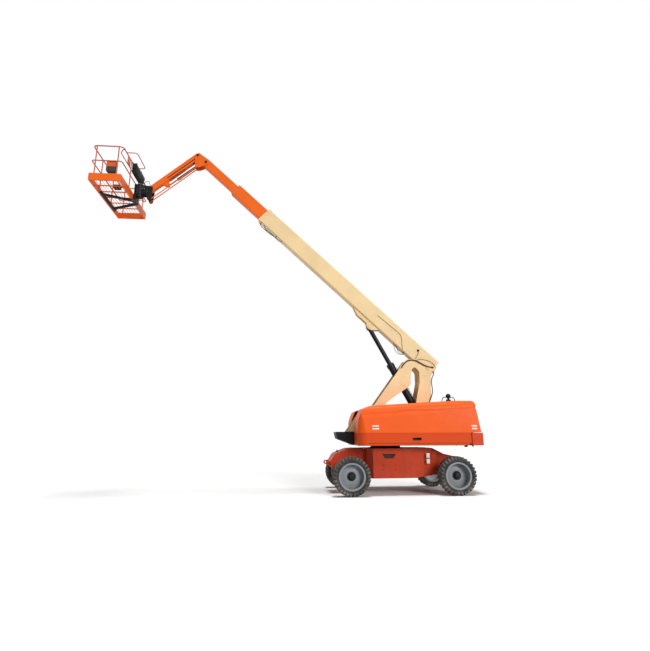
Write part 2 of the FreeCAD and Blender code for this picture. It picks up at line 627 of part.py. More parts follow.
def on_hinge_line(shape, side):
    """Moves a shape from the hinge's own frame, +X along the pin, to the edge of a hood's roof."""
    origin = V(0, 0, hinge_height(0) - HOOD_WALL - HINGE_RADIUS + 1)
    placed = raised(shape, origin, -math.degrees(math.atan(HOOD_SLOPE)))
    return placed if side > 0 else placed.mirror(V(0, 0, 0), V(0, 1, 0))


def hinge_barrel(x, side):
    return on_hinge_line(bar(V(x, HINGE_Y, 0), V(x + HINGE_LENGTH - 4, HINGE_Y, 0), HINGE_RADIUS), side)


def hinge_pin(x, side, gap=0.0):
    start, end = V(x - HINGE_LENGTH / 2, HINGE_Y, 0), V(x + HINGE_LENGTH * 1.5, HINGE_Y, 0)
    return on_hinge_line(bar(start, end, HINGE_PIN_RADIUS + gap), side)


def make_beacon():
    """Dome lamp on the left hood under a bent guard bar."""
    x, y = -1640.0, 620.0
    base = hood_surface(x)
    lamp = Part.makeCylinder(62, 70, V(x, y, base - 20)).fuse(Part.makeSphere(66, V(x, y, base + 142)))
    lamp = lamp.fuse(Part.makeCylinder(30, 100, V(x, y, base + 40)))
    guard = swept_tube([(V(x - 190, y, base - 20), 0), (V(x - 150, y, base + 110), 60),
                        (V(x + 150, y, base + 110), 60), (V(x + 190, y, base - 20), 0)], 10)
    return fused([lamp, guard]).cut(hood_form(1, 0, 0))


def hood_surface(x):
    return hinge_height(x) - 0.5


def make_engine_block():
    return box(-1750, -650, -950, -420, DECK_TOP, 1880)


def make_upright():
    """Two side plates shaped as an inverted V, tied by a rear web and cross tubes, with both pins."""
    outline = [
        (1045, 1300, 20), (898, 1475), (-613, 3511, 60), (-720, 3545, 60), (-1330, 3535, 170),
        (-1500, 3290, 90), (-1305, 3060, 100), (-1288, 2561, 400), (-1150, 1750, 300),
        (-1210, DECK_TOP), (-690, DECK_TOP), (-790, 1900, 300), (-870, 2395, 300), (-992, 2900, 300),
        (-985, 3190, 110), (-870, 3330, 60), (-765, 3230, 60), (-722, 2800, 90), (-41, 2339, 500),
        (520, 1560, 150), (480, DECK_TOP), (DECK_FRONT - 10, DECK_TOP),
    ]
    inner = UPRIGHT_HALF_WIDTH - UPRIGHT_PLATE
    pieces = both_sides(prism(outline, "XZ", inner, UPRIGHT_HALF_WIDTH))
    # tie tubes low in the front leg and high in the rear leg, clear of the lift cylinder's sweep
    pieces.append(across(V(760, 0, 1420), 45, -inner - 5, inner + 5))
    pieces.append(across(V(470, 0, 1820), 35, -inner - 5, inner + 5))
    web = [(-1300, 2900, 0), (-1300, 2450), (-1275, 2450), (-1275, 2900)]
    pieces.append(prism(web, "XZ", -inner - 5, inner + 5))
    pieces.append(across(BOOM_PIVOT, BOOM_PIN_RADIUS, -UPRIGHT_HALF_WIDTH, UPRIGHT_HALF_WIDTH))
    pieces.append(across(LIFT_FOOT, LIFT_PIN_RADIUS, -UPRIGHT_HALF_WIDTH, UPRIGHT_HALF_WIDTH))
    for pin, boss in ((BOOM_PIVOT, 80), (LIFT_FOOT, 70)):
        pieces += both_sides(across(pin, boss, UPRIGHT_HALF_WIDTH - 10, UPRIGHT_HALF_WIDTH + PIN_CAP))
    for x, z in (HOSE_ROUTE[0], HOSE_ROUTE[-1], SMALL_HOSE_ROUTE[0], SMALL_HOSE_ROUTE[-1]):
        clip_y = UPRIGHT_HALF_WIDTH - 1
        pieces.append(box(x - 25, x + 25, clip_y, UPRIGHT_HALF_WIDTH + PIN_CAP, z - 30, z + 30))
    return fused(pieces)


# ---- boom ---------------------------------------------------------------------------------------
def make_base_boom():
    """First boom section with pivot bosses, front collar and the lift cylinder's ears below."""
    outer, core = box_beam(-BASE_TAIL, BASE_REACH, BASE_WIDTH, BASE_DEPTH, BOOM_AXIS_RISE, BASE_WALL, 22)
    collar, _ = box_beam(BASE_REACH - 90, BASE_REACH, BASE_WIDTH + 20, BASE_DEPTH + 20, BOOM_AXIS_RISE, 8, 26)
    inner_y = UPRIGHT_HALF_WIDTH - UPRIGHT_PLATE
    pieces = [outer, collar]
    pieces += both_sides(bar(V(0, BASE_WIDTH / 2 - 10, 0), V(0, inner_y - SIDE_CLEARANCE, 0), 85))
    below = BOOM_AXIS_RISE - BASE_DEPTH / 2
    eye_x, eye_z = LIFT_EYE_ALONG, -LIFT_EYE_BELOW
    ear = [(eye_x - 260, below + 5), (eye_x - 95, eye_z - 30, 60), (eye_x + 60, eye_z - 60, 60),
           (eye_x + 150, eye_z + 30, 60), (eye_x + 520, eye_z + 30, 60), (eye_x + 800, below + 5)]
    y0 = LIFT_EYE_HALF_WIDTH + SIDE_CLEARANCE
    pieces += both_sides(prism(ear, "XZ", y0, y0 + LIFT_EAR_THICKNESS))
    outer = y0 + LIFT_EAR_THICKNESS
    boss = bar(V(eye_x, outer - 1, eye_z), V(eye_x, outer + 14, eye_z), 55)
    pieces += both_sides(boss)
    solid = fused(pieces).cut(core(230, BASE_REACH + 10))
    solid = solid.cut(across(V(0, 0, 0), BOOM_PIN_RADIUS + FIT_GAP, -400, 400))
    pads = mouth_pads(BASE_REACH - 20, BASE_WIDTH, BASE_DEPTH, BASE_WALL, MID_WIDTH, MID_DEPTH)
    return fused([solid] + pads)


def make_hose_guide():
    """Bent rod under the mouth of the base section, its feet against the section's underside."""
    below = BOOM_AXIS_RISE - BASE_DEPTH / 2 - FIT_GAP
    y = BASE_WIDTH / 2 - 30
    return swept_tube([(V(x, y, below - depth), 45) for x, depth in GUIDE_ROUTE], GUIDE_RADIUS)


def make_mid_boom():
    outer, core = box_beam(MID_START, MID_REACH, MID_WIDTH, MID_DEPTH, BOOM_AXIS_RISE, MID_WALL, 18)
    tube = outer.cut(core(MID_START - 10, MID_REACH + 10))
    return fused([tube] + mouth_pads(MID_REACH - 20, MID_WIDTH, MID_DEPTH, MID_WALL, FLY_WIDTH, FLY_DEPTH))


def make_fly_boom():
    """Last boom section, its nose rounded about the nose pin."""
    outer, core = box_beam(FLY_START, FLY_REACH, FLY_WIDTH, FLY_DEPTH, BOOM_AXIS_RISE, FLY_WALL, 12)
    nose_centre = V(FLY_REACH, 0, BOOM_AXIS_RISE)
    nose = across(nose_centre, FLY_DEPTH / 2, -FLY_WIDTH / 2, FLY_WIDTH / 2)
    solid = fused([outer.cut(core(FLY_START - 10, FLY_REACH - 240)), nose])
    return solid.cut(across(nose_centre, 30 + FIT_GAP, -200, 200))


def mouth_pads(front, width, depth, wall, inner_width, inner_depth):
    """Four slide pads inside a section's mouth, each a running fit off the section within."""
    rear = front - PAD_LENGTH
    outer_y, outer_z = width / 2 - wall + 1, depth / 2 - wall + 1
    near_y, near_z = inner_width / 2 + SLIDE_GAP, inner_depth / 2 + SLIDE_GAP
    half_y, half_z = inner_width / 2 - 25, inner_depth / 2 - 35
    pads = []
    for way in (-1, 1):
        low, high = sorted((BOOM_AXIS_RISE + way * near_z, BOOM_AXIS_RISE + way * outer_z))
        pads.append(box(rear, front, -half_y, half_y, low, high))
        left, right = sorted((way * near_y, way * outer_y))
        pads.append(box(rear, front, left, right, BOOM_AXIS_RISE - half_z, BOOM_AXIS_RISE + half_z))
    return pads


def cylinder_barrel(radius, length, eye_radius, eye_half, pin_radius, bore, rod_radius, collar, nut):
    """Cylinder barrel along +X from its foot eye, bored for the piston, with a gland nut for the rod."""
    pieces = [bar(V(eye_radius * 0.6, 0, 0), V(length, 0, 0), radius),
              bar(V(length - nut, 0, 0), V(length, 0, 0), collar),
              across(V(0, 0, 0), eye_radius, -eye_half, eye_half)]
    body = fused(pieces)
    body = body.cut(bar(V(eye_radius + 25, 0, 0), V(length - 60, 0, 0), bore))
    body = body.cut(bar(V(length - 70, 0, 0), V(length + 10, 0, 0), rod_radius + FIT_GAP))
    return body.cut(across(V(0, 0, 0), pin_radius + FIT_GAP, -300, 300))


def cylinder_rod(length, piston_at, rod_radius, bore, eye_radius, eye_half):
    """Piston, rod and eye with its pin pressed in and cut flush, along +X from the foot's centre."""
    pieces = [bar(V(piston_at, 0, 0), V(length, 0, 0), rod_radius),
              bar(V(piston_at - 40, 0, 0), V(piston_at + 40, 0, 0), bore - FIT_GAP),
              across(V(length, 0, 0), eye_radius, -eye_half, eye_half)]
    return fused(pieces)


def pitch(start, end):
    return math.degrees(math.atan2(end.z - start.z, end.x - start.x))


def make_lift_cylinder():
    span = (LIFT_EYE - LIFT_FOOT).Length
    angle = pitch(LIFT_FOOT, LIFT_EYE)
    barrel = cylinder_barrel(LIFT_BARREL_RADIUS, LIFT_BARREL_LENGTH, 78, 60, LIFT_PIN_RADIUS,
                             LIFT_BORE_RADIUS, LIFT_ROD_RADIUS, LIFT_COLLAR_RADIUS, LIFT_COLLAR_LENGTH)
    rod = cylinder_rod(span, LIFT_PISTON_AT, LIFT_ROD_RADIUS, LIFT_BORE_RADIUS, LIFT_EYE_RADIUS,
                       LIFT_EYE_HALF_WIDTH)
    return raised(barrel, LIFT_FOOT, angle), raised(rod, LIFT_FOOT, angle)


def make_jib_cylinder():
    span = (JIB_EYE - JIB_FOOT).Length
    angle = pitch(JIB_FOOT, JIB_EYE)
    barrel = cylinder_barrel(JIB_BARREL_RADIUS, JIB_BARREL_LENGTH, 36, 22, JIB_FOOT_PIN_RADIUS,
                             JIB_BORE_RADIUS, JIB_ROD_RADIUS, JIB_BARREL_RADIUS + 3, 50)
    rod = cylinder_rod(span, JIB_PISTON_AT, JIB_ROD_RADIUS, JIB_BORE_RADIUS, JIB_EYE_RADIUS,
                       JIB_EYE_HALF_WIDTH)
    return raised(barrel, JIB_FOOT, angle), raised(rod, JIB_FOOT, angle)


# ---- nose bracket, jib and platform support -------------------------------------------------------
def stub_pins(centre, radius):
    """Short pins inward from the bracket plates that carry the level links."""
    return both_sides(across(centre, radius, LEVEL_LINK_Y - 14, BRACKET_Y + 2))


def make_nose_bracket():
    n, u, low, foot = NOSE_PIN, JIB_PIVOT, LEVEL_TOP, JIB_FOOT
    outline = [(n.x - 95, n.z - 60, 60), (n.x - 85, n.z + 70, 70), (u.x - 40, u.z + 85, 70),
               (u.x + 90, u.z + 40, 70), (low.x + 60, low.z - 55, 45), (low.x - 60, low.z - 50, 40)]
    pieces = both_sides(prism(outline, "XZ", BRACKET_Y, BRACKET_Y + BRACKET_PLATE))
    reach = BRACKET_Y + BRACKET_PLATE + 8
    pieces.append(across(n, 30, -reach, reach))
    pieces.append(across(u, JIB_PIN_RADIUS, -reach, reach))
    pieces.append(across(foot, JIB_FOOT_PIN_RADIUS, -reach, reach))
    pieces.append(across(V(n.x + 131, 0, n.z + 114), 22, -BRACKET_Y - 2, BRACKET_Y + 2))
    pieces += stub_pins(low, 14)
    return fused(pieces)


def make_jib():
    """Tapered box jib, rounded about its two pins, with side grooves and the jib cylinder's ears."""
    top, tip = JIB_DEPTH / 2, JIB_TIP_DEPTH / 2
    half = JIB_WIDTH / 2
    length = JIB_LENGTH
    body = prism([(0, -top), (length, -tip), (length, tip), (0, top)], "XZ", -half, half)
    ends = [across(V(0, 0, 0), top, -half, half), across(V(length, 0, 0), tip, -half, half)]
    boss_end = BRACKET_Y - SIDE_CLEARANCE
    bosses = [across(V(x, 0, 0), JIB_BOSS_RADIUS, -boss_end, boss_end) for x in (0, length)]
    eye_x, eye_z = JIB_EYE_ALONG, -JIB_EYE_BELOW
    ear = [(eye_x - 120, -tip), (eye_x - 45, eye_z - 5, 30), (eye_x - 20, eye_z - 35, 30),
           (eye_x + 30, eye_z - 35, 30), (eye_x + 110, -tip)]
    ear_y = JIB_EYE_HALF_WIDTH + SIDE_CLEARANCE
    ears = both_sides(prism(ear, "XZ", ear_y, ear_y + JIB_EAR_THICKNESS))
    solid = fused([body] + ends + bosses + ears)
    groove = prism([(130, -38, 10), (1180, -38, 10), (1180, -8, 10), (130, -8, 10)], "XZ", half - 4, half + 5)
    cuts = both_sides(groove)
    cuts.append(prism([(180, -top + 14), (length - 150, -tip + 8), (length - 150, tip - 8), (180, top - 14)],
                      "XZ", -half + JIB_WALL, half - JIB_WALL))
    # fitting block that the hose on the jib's back plugs into
    x0, lift = JIB_HOSE_ENDS[0] - FIT_GAP, jib_top(JIB_HOSE_ENDS[0])
    solid = solid.fuse(box(x0 - 60, x0, -25, 25, lift - 4, lift + 2 * JIB_HOSE_RADIUS + 8))
    # fork below the pivot, which takes the cylinder's barrel when the jib is right up
    slot = JIB_BARREL_RADIUS + SIDE_CLEARANCE
    cuts.append(prism([(-110, -48), (450, -98), (450, -130), (-110, -130)], "XZ", -slot, slot))
    cuts += [across(V(x, 0, 0), JIB_PIN_RADIUS + FIT_GAP, -200, 200) for x in (0, length)]
    return raised(solid.cut(Part.makeCompound(cuts)), JIB_PIVOT, JIB_ANGLE)


def jib_top(along):
    """Height of the jib's upper face above the line through its two pins."""
    return (JIB_DEPTH + (JIB_TIP_DEPTH - JIB_DEPTH) * along / JIB_LENGTH) / 2


def make_jib_hose():
    """Straight hose lying along the back of the jib from the fitting block."""
    rise = JIB_HOSE_RADIUS + FIT_GAP
    start, end = (V(x, 0, jib_top(x) + rise) for x in JIB_HOSE_ENDS)
    return raised(swept_tube([(start, 0), (end, 0)], JIB_HOSE_RADIUS), JIB_PIVOT, JIB_ANGLE)


def make_level_links():
    pieces = []
    for y in (-LEVEL_LINK_Y, LEVEL_LINK_Y):
        offset = V(0, y, 0)
        link = bar(LEVEL_TOP + offset, LEVEL_BOTTOM + offset, LEVEL_LINK_RADIUS)
        eyes = [across(pin, 27, y - 10, y + 10) for pin in (LEVEL_TOP, LEVEL_BOTTOM)]
        holes = [across(LEVEL_TOP, 14 + FIT_GAP, y - 30, y + 30),
                 across(LEVEL_BOTTOM, 14 + FIT_GAP, y - 30, y + 30)]
        pieces.append(fused([link] + eyes).cut(Part.makeCompound(holes)))
    return Part.makeCompound(pieces)


def make_platform_support():
    """Levelled casting: two side plates on the jib's tip and level links, with the rotator housing."""
    tip, low, r = JIB_TIP, LEVEL_BOTTOM, ROTATOR
    outline = [(tip.x - 70, tip.z + 60, 60), (r.x - 20, tip.z + 95), (r.x - 20, tip.z - 190),
               (tip.x + 120, tip.z - 210, 60), (low.x + 48, low.z - 45, 40), (low.x - 48, low.z - 45, 40),
               (tip.x - 75, tip.z - 70, 60)]
    pieces = both_sides(prism(outline, "XZ", BRACKET_Y, BRACKET_Y + BRACKET_PLATE))
    reach = BRACKET_Y + BRACKET_PLATE
    pieces.append(box(tip.x + 130, r.x - 20, -reach, reach, tip.z - 150, tip.z + 80))
    pieces.append(Part.makeCylinder(115, 330, V(r.x, 0, tip.z - 220)))
    pieces.append(across(tip, JIB_PIN_RADIUS, -reach - 8, reach + 8))
    pieces += stub_pins(low, 14)
    return fused(pieces)


def make_platform_mount():
    """Turning mount: plates above and below the rotator and a V of arms under the platform floor."""
    r = ROTATOR
    top, bottom = JIB_TIP.z + 110 + FIT_GAP, JIB_TIP.z - 220 - FIT_GAP
    floor_low = FLOOR_Z - FLOOR_DEPTH
    pieces = [Part.makeCylinder(105, 45, V(r.x, 0, bottom - 45)), Part.makeCylinder(95, 30, V(r.x, 0, top))]
    back = r.x + 115 + PLAY
    pieces.append(box(r.x, back + 30, -70, 70, bottom - 45, bottom))
    pieces.append(box(r.x, back + 30, -70, 70, top, top + 30))
    pieces.append(box(back, back + 30, -70, 70, bottom - 45, top + 30))
    pieces.append(box(back - 60, back + 30, -110, 110, floor_low - 60, bottom - 10))
    for side in (-1, 1):
        start, end = V(r.x + 60, side * 70, 0), V(PLATFORM_FRONT - 120, side * 430, 0)
        way = (end - start).normalize() * 30
        normal = V(-way.y, way.x, 0)
        corners = [start - normal, end - normal, end + normal, start + normal]
        pieces.append(prism([(c.x, c.y) for c in corners], "XY", floor_low - 60, floor_low))
    pieces.append(box(PLATFORM_FRONT - 150, PLATFORM_FRONT - 90, -560, 560, floor_low - 60, floor_low))
    return fused(pieces)


# ---- platform -----------------------------------------------------------------------------------
def make_platform_floor():
    """Rectangular tube frame with a grille of bars and toe boards round the edge."""
    x0, x1, y = PLATFORM_REAR, PLATFORM_FRONT, PLATFORM_LENGTH / 2
    low, top = FLOOR_Z - FLOOR_DEPTH, FLOOR_Z
    frame = box(x0, x1, -y, y, low, top - GRATING_PROUD)
    frame = frame.cut(box(x0 + 40, x1 - 40, -y + 40, y - 40, low - 1, top + 1))
    pieces = [frame]
    for i in range(1, 7):
        at = -y + i * PLATFORM_LENGTH / 7
        pieces.append(box(x0 + 30, x1 - 30, at - 10, at + 10, low + 5, top - 8))
    for i in range(1, 10):
        at = x0 + i * PLATFORM_WIDTH / 10
        pieces.append(box(at - 4, at + 4, -y + 30, y - 30, top - 8, top))
    for side in (-1, 1):
        near, far = sorted((side * y, side * (y - 4)))
        pieces.append(box(x0, x1, near, far, top - 5, top + TOE_HEIGHT))
    pieces.append(box(x1 - 4, x1, -y, y, top - 5, top + TOE_HEIGHT))
    pieces.append(box(x0, x0 + 4, -y, y, top - 5, top + TOE_HEIGHT))
    return fused(pieces)


def rail_loop(height, r):
    """Closed rail round the platform at a height, its corners rounded."""
    inset = RAIL_INSET
    x0, x1, y = PLATFORM_REAR + inset, PLATFORM_FRONT - inset, PLATFORM_LENGTH / 2 - inset
    z = FLOOR_Z + height
    middle = (x0 + x1) / 2
    corners = [(V(middle, -y, z), 0), (V(x1, -y, z), r), (V(x1, y, z), r), (V(x0, y, z), r),
               (V(x0, -y, z), r)]
    return swept_tube(corners, RAIL_RADIUS, closed=True)


def make_platform_rails():
    """Top rail all round, mid rail on three sides, posts down to the floor frame."""
    inset = RAIL_INSET
    x0, x1, y = PLATFORM_REAR + inset, PLATFORM_FRONT - inset, PLATFORM_LENGTH / 2 - inset
    top, mid = FLOOR_Z + RAIL_HEIGHT - RAIL_RADIUS, FLOOR_Z + MID_RAIL_HEIGHT
    pieces = [rail_loop(RAIL_HEIGHT - RAIL_RADIUS, RAIL_CORNER)]
    corner = 80.0
    mid_rail = [(V(x0 + POST_INSET, -y, mid), 0), (V(x0, -y, mid), corner), (V(x0, y, mid), corner),
                (V(x1, y, mid), corner), (V(x1, -y, mid), corner), (V(x1 - POST_INSET, -y, mid), 0)]
    pieces.append(swept_tube(mid_rail, POST_RADIUS))
    posts = [(x0 + POST_INSET, y), (x1 - POST_INSET, y), (x0 + POST_INSET, -y), (x1 - POST_INSET, -y)]
    posts += [(x1, -y / 2.6), (x1, y / 2.6), (x0, -y / 2.6), (x0, y / 2.6)]
    for x, post_y in posts:
        pieces.append(bar(V(x, post_y, FLOOR_Z - GRATING_PROUD), V(x, post_y, top), POST_RADIUS))
    return fused(pieces)


def make_entry_bar():
    """Lift-up mid bar at the entry end, its sleeves riding on the two end posts."""
    x0 = PLATFORM_REAR + RAIL_INSET + POST_INSET
    x1 = PLATFORM_FRONT - RAIL_INSET - POST_INSET
    y = RAIL_INSET - PLATFORM_LENGTH / 2
    z = FLOOR_Z + MID_RAIL_HEIGHT + ENTRY_BAR_ABOVE
    sleeve = RAIL_RADIUS + 8
    pieces = [bar(V(x0 + sleeve - 4, y, z), V(x1 - sleeve + 4, y, z), ENTRY_BAR_RADIUS)]
    for x in (x0, x1):
        pieces.append(Part.makeCylinder(sleeve, 60, V(x, y, z - 30)))
    solid = fused(pieces)
    for x in (x0, x1):
        solid = solid.cut(Part.makeCylinder(POST_RADIUS + FIT_GAP, 80, V(x, y, z - 40)))
    return solid


def make_control_console():
    """Slender control box on the outside of the rear rail, its sloping top towards the operator."""
    x = PLATFORM_REAR + 4 - FIT_GAP
    z = FLOOR_Z + RAIL_HEIGHT - CONSOLE_BELOW_TOP
    back = x - CONSOLE_DEPTH
    profile = [(back + 30, z - 250, 35), (back, z - 70, 30), (back + 20, z, 20), (x - 25, z - 12, 6),
               (x, z - 60, 6), (x, z - 310, 15), (x - 55, z - 310, 25)]
    strap_top = FLOOR_Z + RAIL_HEIGHT - RAIL_RADIUS
    straps = [box(x - 8, x, y, y + 40, z - 80, strap_top) for y in (CONSOLE_RIGHT + 50, CONSOLE_LEFT - 90)]
    return fused([prism(profile, "XZ", CONSOLE_RIGHT, CONSOLE_LEFT)] + straps)


def make_console_guard():
    """Two tube loops level with the top rail: one behind the console, a hand rail ahead of it."""
    rail_x, z = PLATFORM_REAR + RAIL_INSET, FLOOR_Z + RAIL_HEIGHT - RAIL_RADIUS
    seat = RAIL_RADIUS + FIT_GAP
    (right, left), back = GUARD_OUT_Y, rail_x - GUARD_OUT
    outer = [(V(rail_x - seat, left, z), 0), (V(back, left, z), 90), (V(back, right, z), 90),
             (V(rail_x - seat, right, z), 0)]
    (right, left), ahead = GUARD_IN_Y, rail_x + GUARD_IN
    start = rail_x + seat
    inner = [(V(start, left, z), 0), (V(start + 45, left, z), 35), (V(ahead, left - 155, z), 60),
             (V(ahead, right + 155, z), 60), (V(start + 45, right, z), 35), (V(start, right, z), 0)]
    return Part.makeCompound([swept_tube(outer, GUARD_RADIUS), swept_tube(inner, GUARD_RADIUS)])


def make_tool_box():
    """Open tray box hung below the near end's mid rail."""
    y1 = PLATFORM_LENGTH / 2 - RAIL_INSET - POST_RADIUS - FIT_GAP
    z1 = FLOOR_Z + MID_RAIL_HEIGHT + 10
    x0 = PLATFORM_REAR + TOOL_BOX_FROM_REAR
    outer = box(x0, x0 + TOOL_BOX_LENGTH, y1 - TOOL_BOX_DEPTH, y1, z1 - TOOL_BOX_HEIGHT, z1)
    t = 5
    return outer.cut(box(x0 + t, x0 + TOOL_BOX_LENGTH - t, y1 - TOOL_BOX_DEPTH + t, y1 - t,
                         z1 - TOOL_BOX_HEIGHT + t, z1 + 10))


def make_boom_hose():
    """Hose clipped along the upright's head, from the front leg over the pivot to the rear corner."""
    return swept_tube([(V(x, HOSE_Y, z), 120) for x, z in HOSE_ROUTE], HOSE_RADIUS)


def make_upright_hose():
    """Thinner hose that bows out behind the upright's rear leg, down to the deck."""
    y = UPRIGHT_HALF_WIDTH + PIN_CAP + SMALL_HOSE_RADIUS + FIT_GAP
    return swept_tube([(V(x, y, z), 100) for x, z in SMALL_HOSE_ROUTE], SMALL_HOSE_RADIUS)


def build():
    os.makedirs("parts", exist_ok=True)
    for x, row in ((FRONT_AXLE_X, "front"), (REAR_AXLE_X, "rear")):
        for side, hand in ((1, "left"), (-1, "right")):
            centre = V(x, side * WHEEL_Y, WHEEL_Z)
            save(f"tyre_{row}_{hand}", make_tyre(centre))
            save(f"rim_{row}_{hand}", make_rim(centre, side))
            save(f"hub_{row}_{hand}", make_hub(centre, side))
    save("front_axle", make_front_axle())
    save("rear_axle", make_rear_axle())
    save("knuckle_left", make_knuckle(1))
    save("knuckle_right", make_knuckle(-1))
    save("tie_rod", make_tie_rod())
    save("chassis_frame", make_chassis())
    save("slew_ring", make_slew_ring())
    save("turntable_deck", make_turntable_deck())
    save("counterweight", make_counterweight())
    save("turntable_nose", make_turntable_nose())
    save("hood_left", make_hood(1))
    save("hood_right", make_hood(-1))
    save("hood_beacon", make_beacon())
    save("engine_block", make_engine_block())
    save("boom_upright", make_upright())
    save("base_boom", raised(make_base_boom(), BOOM_PIVOT, BOOM_ANGLE))
    save("hose_guide", raised(make_hose_guide(), BOOM_PIVOT, BOOM_ANGLE))
    save("mid_boom", raised(make_mid_boom(), BOOM_PIVOT, BOOM_ANGLE))
    save("fly_boom", raised(make_fly_boom(), BOOM_PIVOT, BOOM_ANGLE))
    barrel, rod = make_lift_cylinder()
    save("lift_cylinder_barrel", barrel)
    save("lift_cylinder_rod", rod)
    save("nose_bracket", make_nose_bracket())
    save("jib_boom", make_jib())
    barrel, rod = make_jib_cylinder()
    save("jib_cylinder_barrel", barrel)
    save("jib_cylinder_rod", rod)
    save("jib_hose", make_jib_hose())
    save("level_links", make_level_links())
    save("platform_support", make_platform_support())
    save("platform_mount", make_platform_mount())
    save("platform_floor", make_platform_floor())
    save("platform_rails", make_platform_rails())
    save("entry_bar", make_entry_bar())
    save("control_console", make_control_console())
    save("console_guard", make_console_guard())
    save("tool_box", make_tool_box())
    save("boom_hose", make_boom_hose())
    save("upright_hose", make_upright_hose())


build()
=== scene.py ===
"""Telescopic boom lift: the visual model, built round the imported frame."""

import json
import logging
import math
from dataclasses import dataclass
from enum import Enum
from typing import Callable, Iterable, Sequence

import bpy
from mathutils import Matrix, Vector


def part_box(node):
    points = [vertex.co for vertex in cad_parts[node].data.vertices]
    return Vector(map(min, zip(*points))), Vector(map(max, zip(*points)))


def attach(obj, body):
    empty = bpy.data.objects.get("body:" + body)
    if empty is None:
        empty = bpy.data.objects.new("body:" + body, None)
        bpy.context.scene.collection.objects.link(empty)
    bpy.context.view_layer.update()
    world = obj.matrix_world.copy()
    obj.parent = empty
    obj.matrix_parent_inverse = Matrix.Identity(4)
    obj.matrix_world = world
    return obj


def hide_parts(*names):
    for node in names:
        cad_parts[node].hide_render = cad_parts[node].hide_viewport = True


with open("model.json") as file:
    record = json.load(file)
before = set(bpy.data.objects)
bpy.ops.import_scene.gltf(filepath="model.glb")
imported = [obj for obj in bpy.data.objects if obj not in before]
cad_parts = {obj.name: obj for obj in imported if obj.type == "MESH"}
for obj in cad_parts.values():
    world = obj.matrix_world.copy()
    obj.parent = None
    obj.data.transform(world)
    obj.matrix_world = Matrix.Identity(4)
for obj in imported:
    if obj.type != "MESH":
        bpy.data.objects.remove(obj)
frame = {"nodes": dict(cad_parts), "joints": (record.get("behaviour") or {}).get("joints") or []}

LOG = logging.getLogger("boom_lift")
Colour = tuple[float, float, float]
Point = tuple[float, float, float]
Span = tuple[float, float]
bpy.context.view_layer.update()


# ---- places taken from the frame ----------------------------------------------------------------
def middle_of(node: str) -> Vector:
    """Centre of a frame node's box, in metres."""
    low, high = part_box(node)
    return (Vector(low) + Vector(high)) / 2


SLEW_X = middle_of("slew_ring").x


def joint_place(name: str) -> Vector:
    """The point that a joint of the frame turns about."""
    return Vector(next(j["pos_m"] for j in frame["joints"] if j["name"] == name))


def joint_axis(name: str) -> Vector:
    """The direction of a joint of the frame."""
    return Vector(next(j["axis"] for j in frame["joints"] if j["name"] == name)).normalized()


def lay(x: float, y: float, z: float) -> Vector:
    """A point given in millimetres from the slewing axis and the ground."""
    return Vector((SLEW_X + x / 1000, y / 1000, z / 1000))


def lay_way(x: float, y: float, z: float) -> Vector:
    """A step given in millimetres."""
    return Vector((x, y, z)) / 1000


AHEAD, LEFT, UP = Vector((1, 0, 0)), Vector((0, 1, 0)), Vector((0, 0, 1))
HANDS: tuple[tuple[str, float], ...] = (("left", 1.0), ("right", -1.0))
FRONT_AXLE: Point = (1087.0, 0.0, 467.0)
WHEELBASE = 2650.0
LIFT_FOOT: Span = (-1088.0, 1800.0)
LIFT_EYE: Span = (1.992, -0.233)
HOOD_BELT = 1506.0
ROTATOR_AT: Point = (7199.8, 0.0, 8659.8)
NOSE_PIN = lay(5296.9, 0.0, 9618.9)
BOOM_PIVOT = joint_place("boom_lift")
BOOM_WAY = joint_axis("mid_slide")
BOOM_UP = Vector((-BOOM_WAY.z, 0.0, BOOM_WAY.x))


def leftward(distance: float) -> Vector:
    """A step to the machine's left, in metres."""
    return Vector((0.0, distance, 0.0))


def wall(y: float, pairs: Iterable[Span], x: float = 0.0, z: float = 0.0) -> list[Vector]:
    """Points on an upright plane that runs fore and aft.

    Args:
        y: the plane's distance to the left, in layout millimetres.
        pairs: steps forward and up for each point.
        x: where the steps forward start.
        z: where the steps up start.

    Returns:
        The points.
    """
    return [lay(x + ahead, y, z + above) for ahead, above in pairs]


def along(start: Vector, way: Vector, up: Vector, pairs: Iterable[Span], side: float = 0.0) -> list[Vector]:
    """Points beside a member, by steps along it and square to it, all as far to the left."""
    return [start + way * ahead + up * above + leftward(side) for ahead, above in pairs]


def square_to(way: Vector) -> Vector:
    """The upward direction square to a member that lies fore and aft."""
    return Vector((-way.z, 0.0, way.x))


def on_boom(along: float, side: float, above: float) -> Vector:
    """A point in the boom's own frame: along it, to the left, and above its pivot.

    Args:
        along: distance from the boom's pivot along the boom.
        side: distance to the machine's left.
        above: distance square to the boom, upwards.

    Returns:
        The point in the machine's frame.
    """
    return BOOM_PIVOT + BOOM_WAY * along + leftward(side) + BOOM_UP * above


# ---- shader tools -------------------------------------------------------------------------------
class Group(Enum):
    """Shared shader effects."""

    WEAR = "edge_wear"
    GRIME = "grime"
    PEEL = "surface_relief"


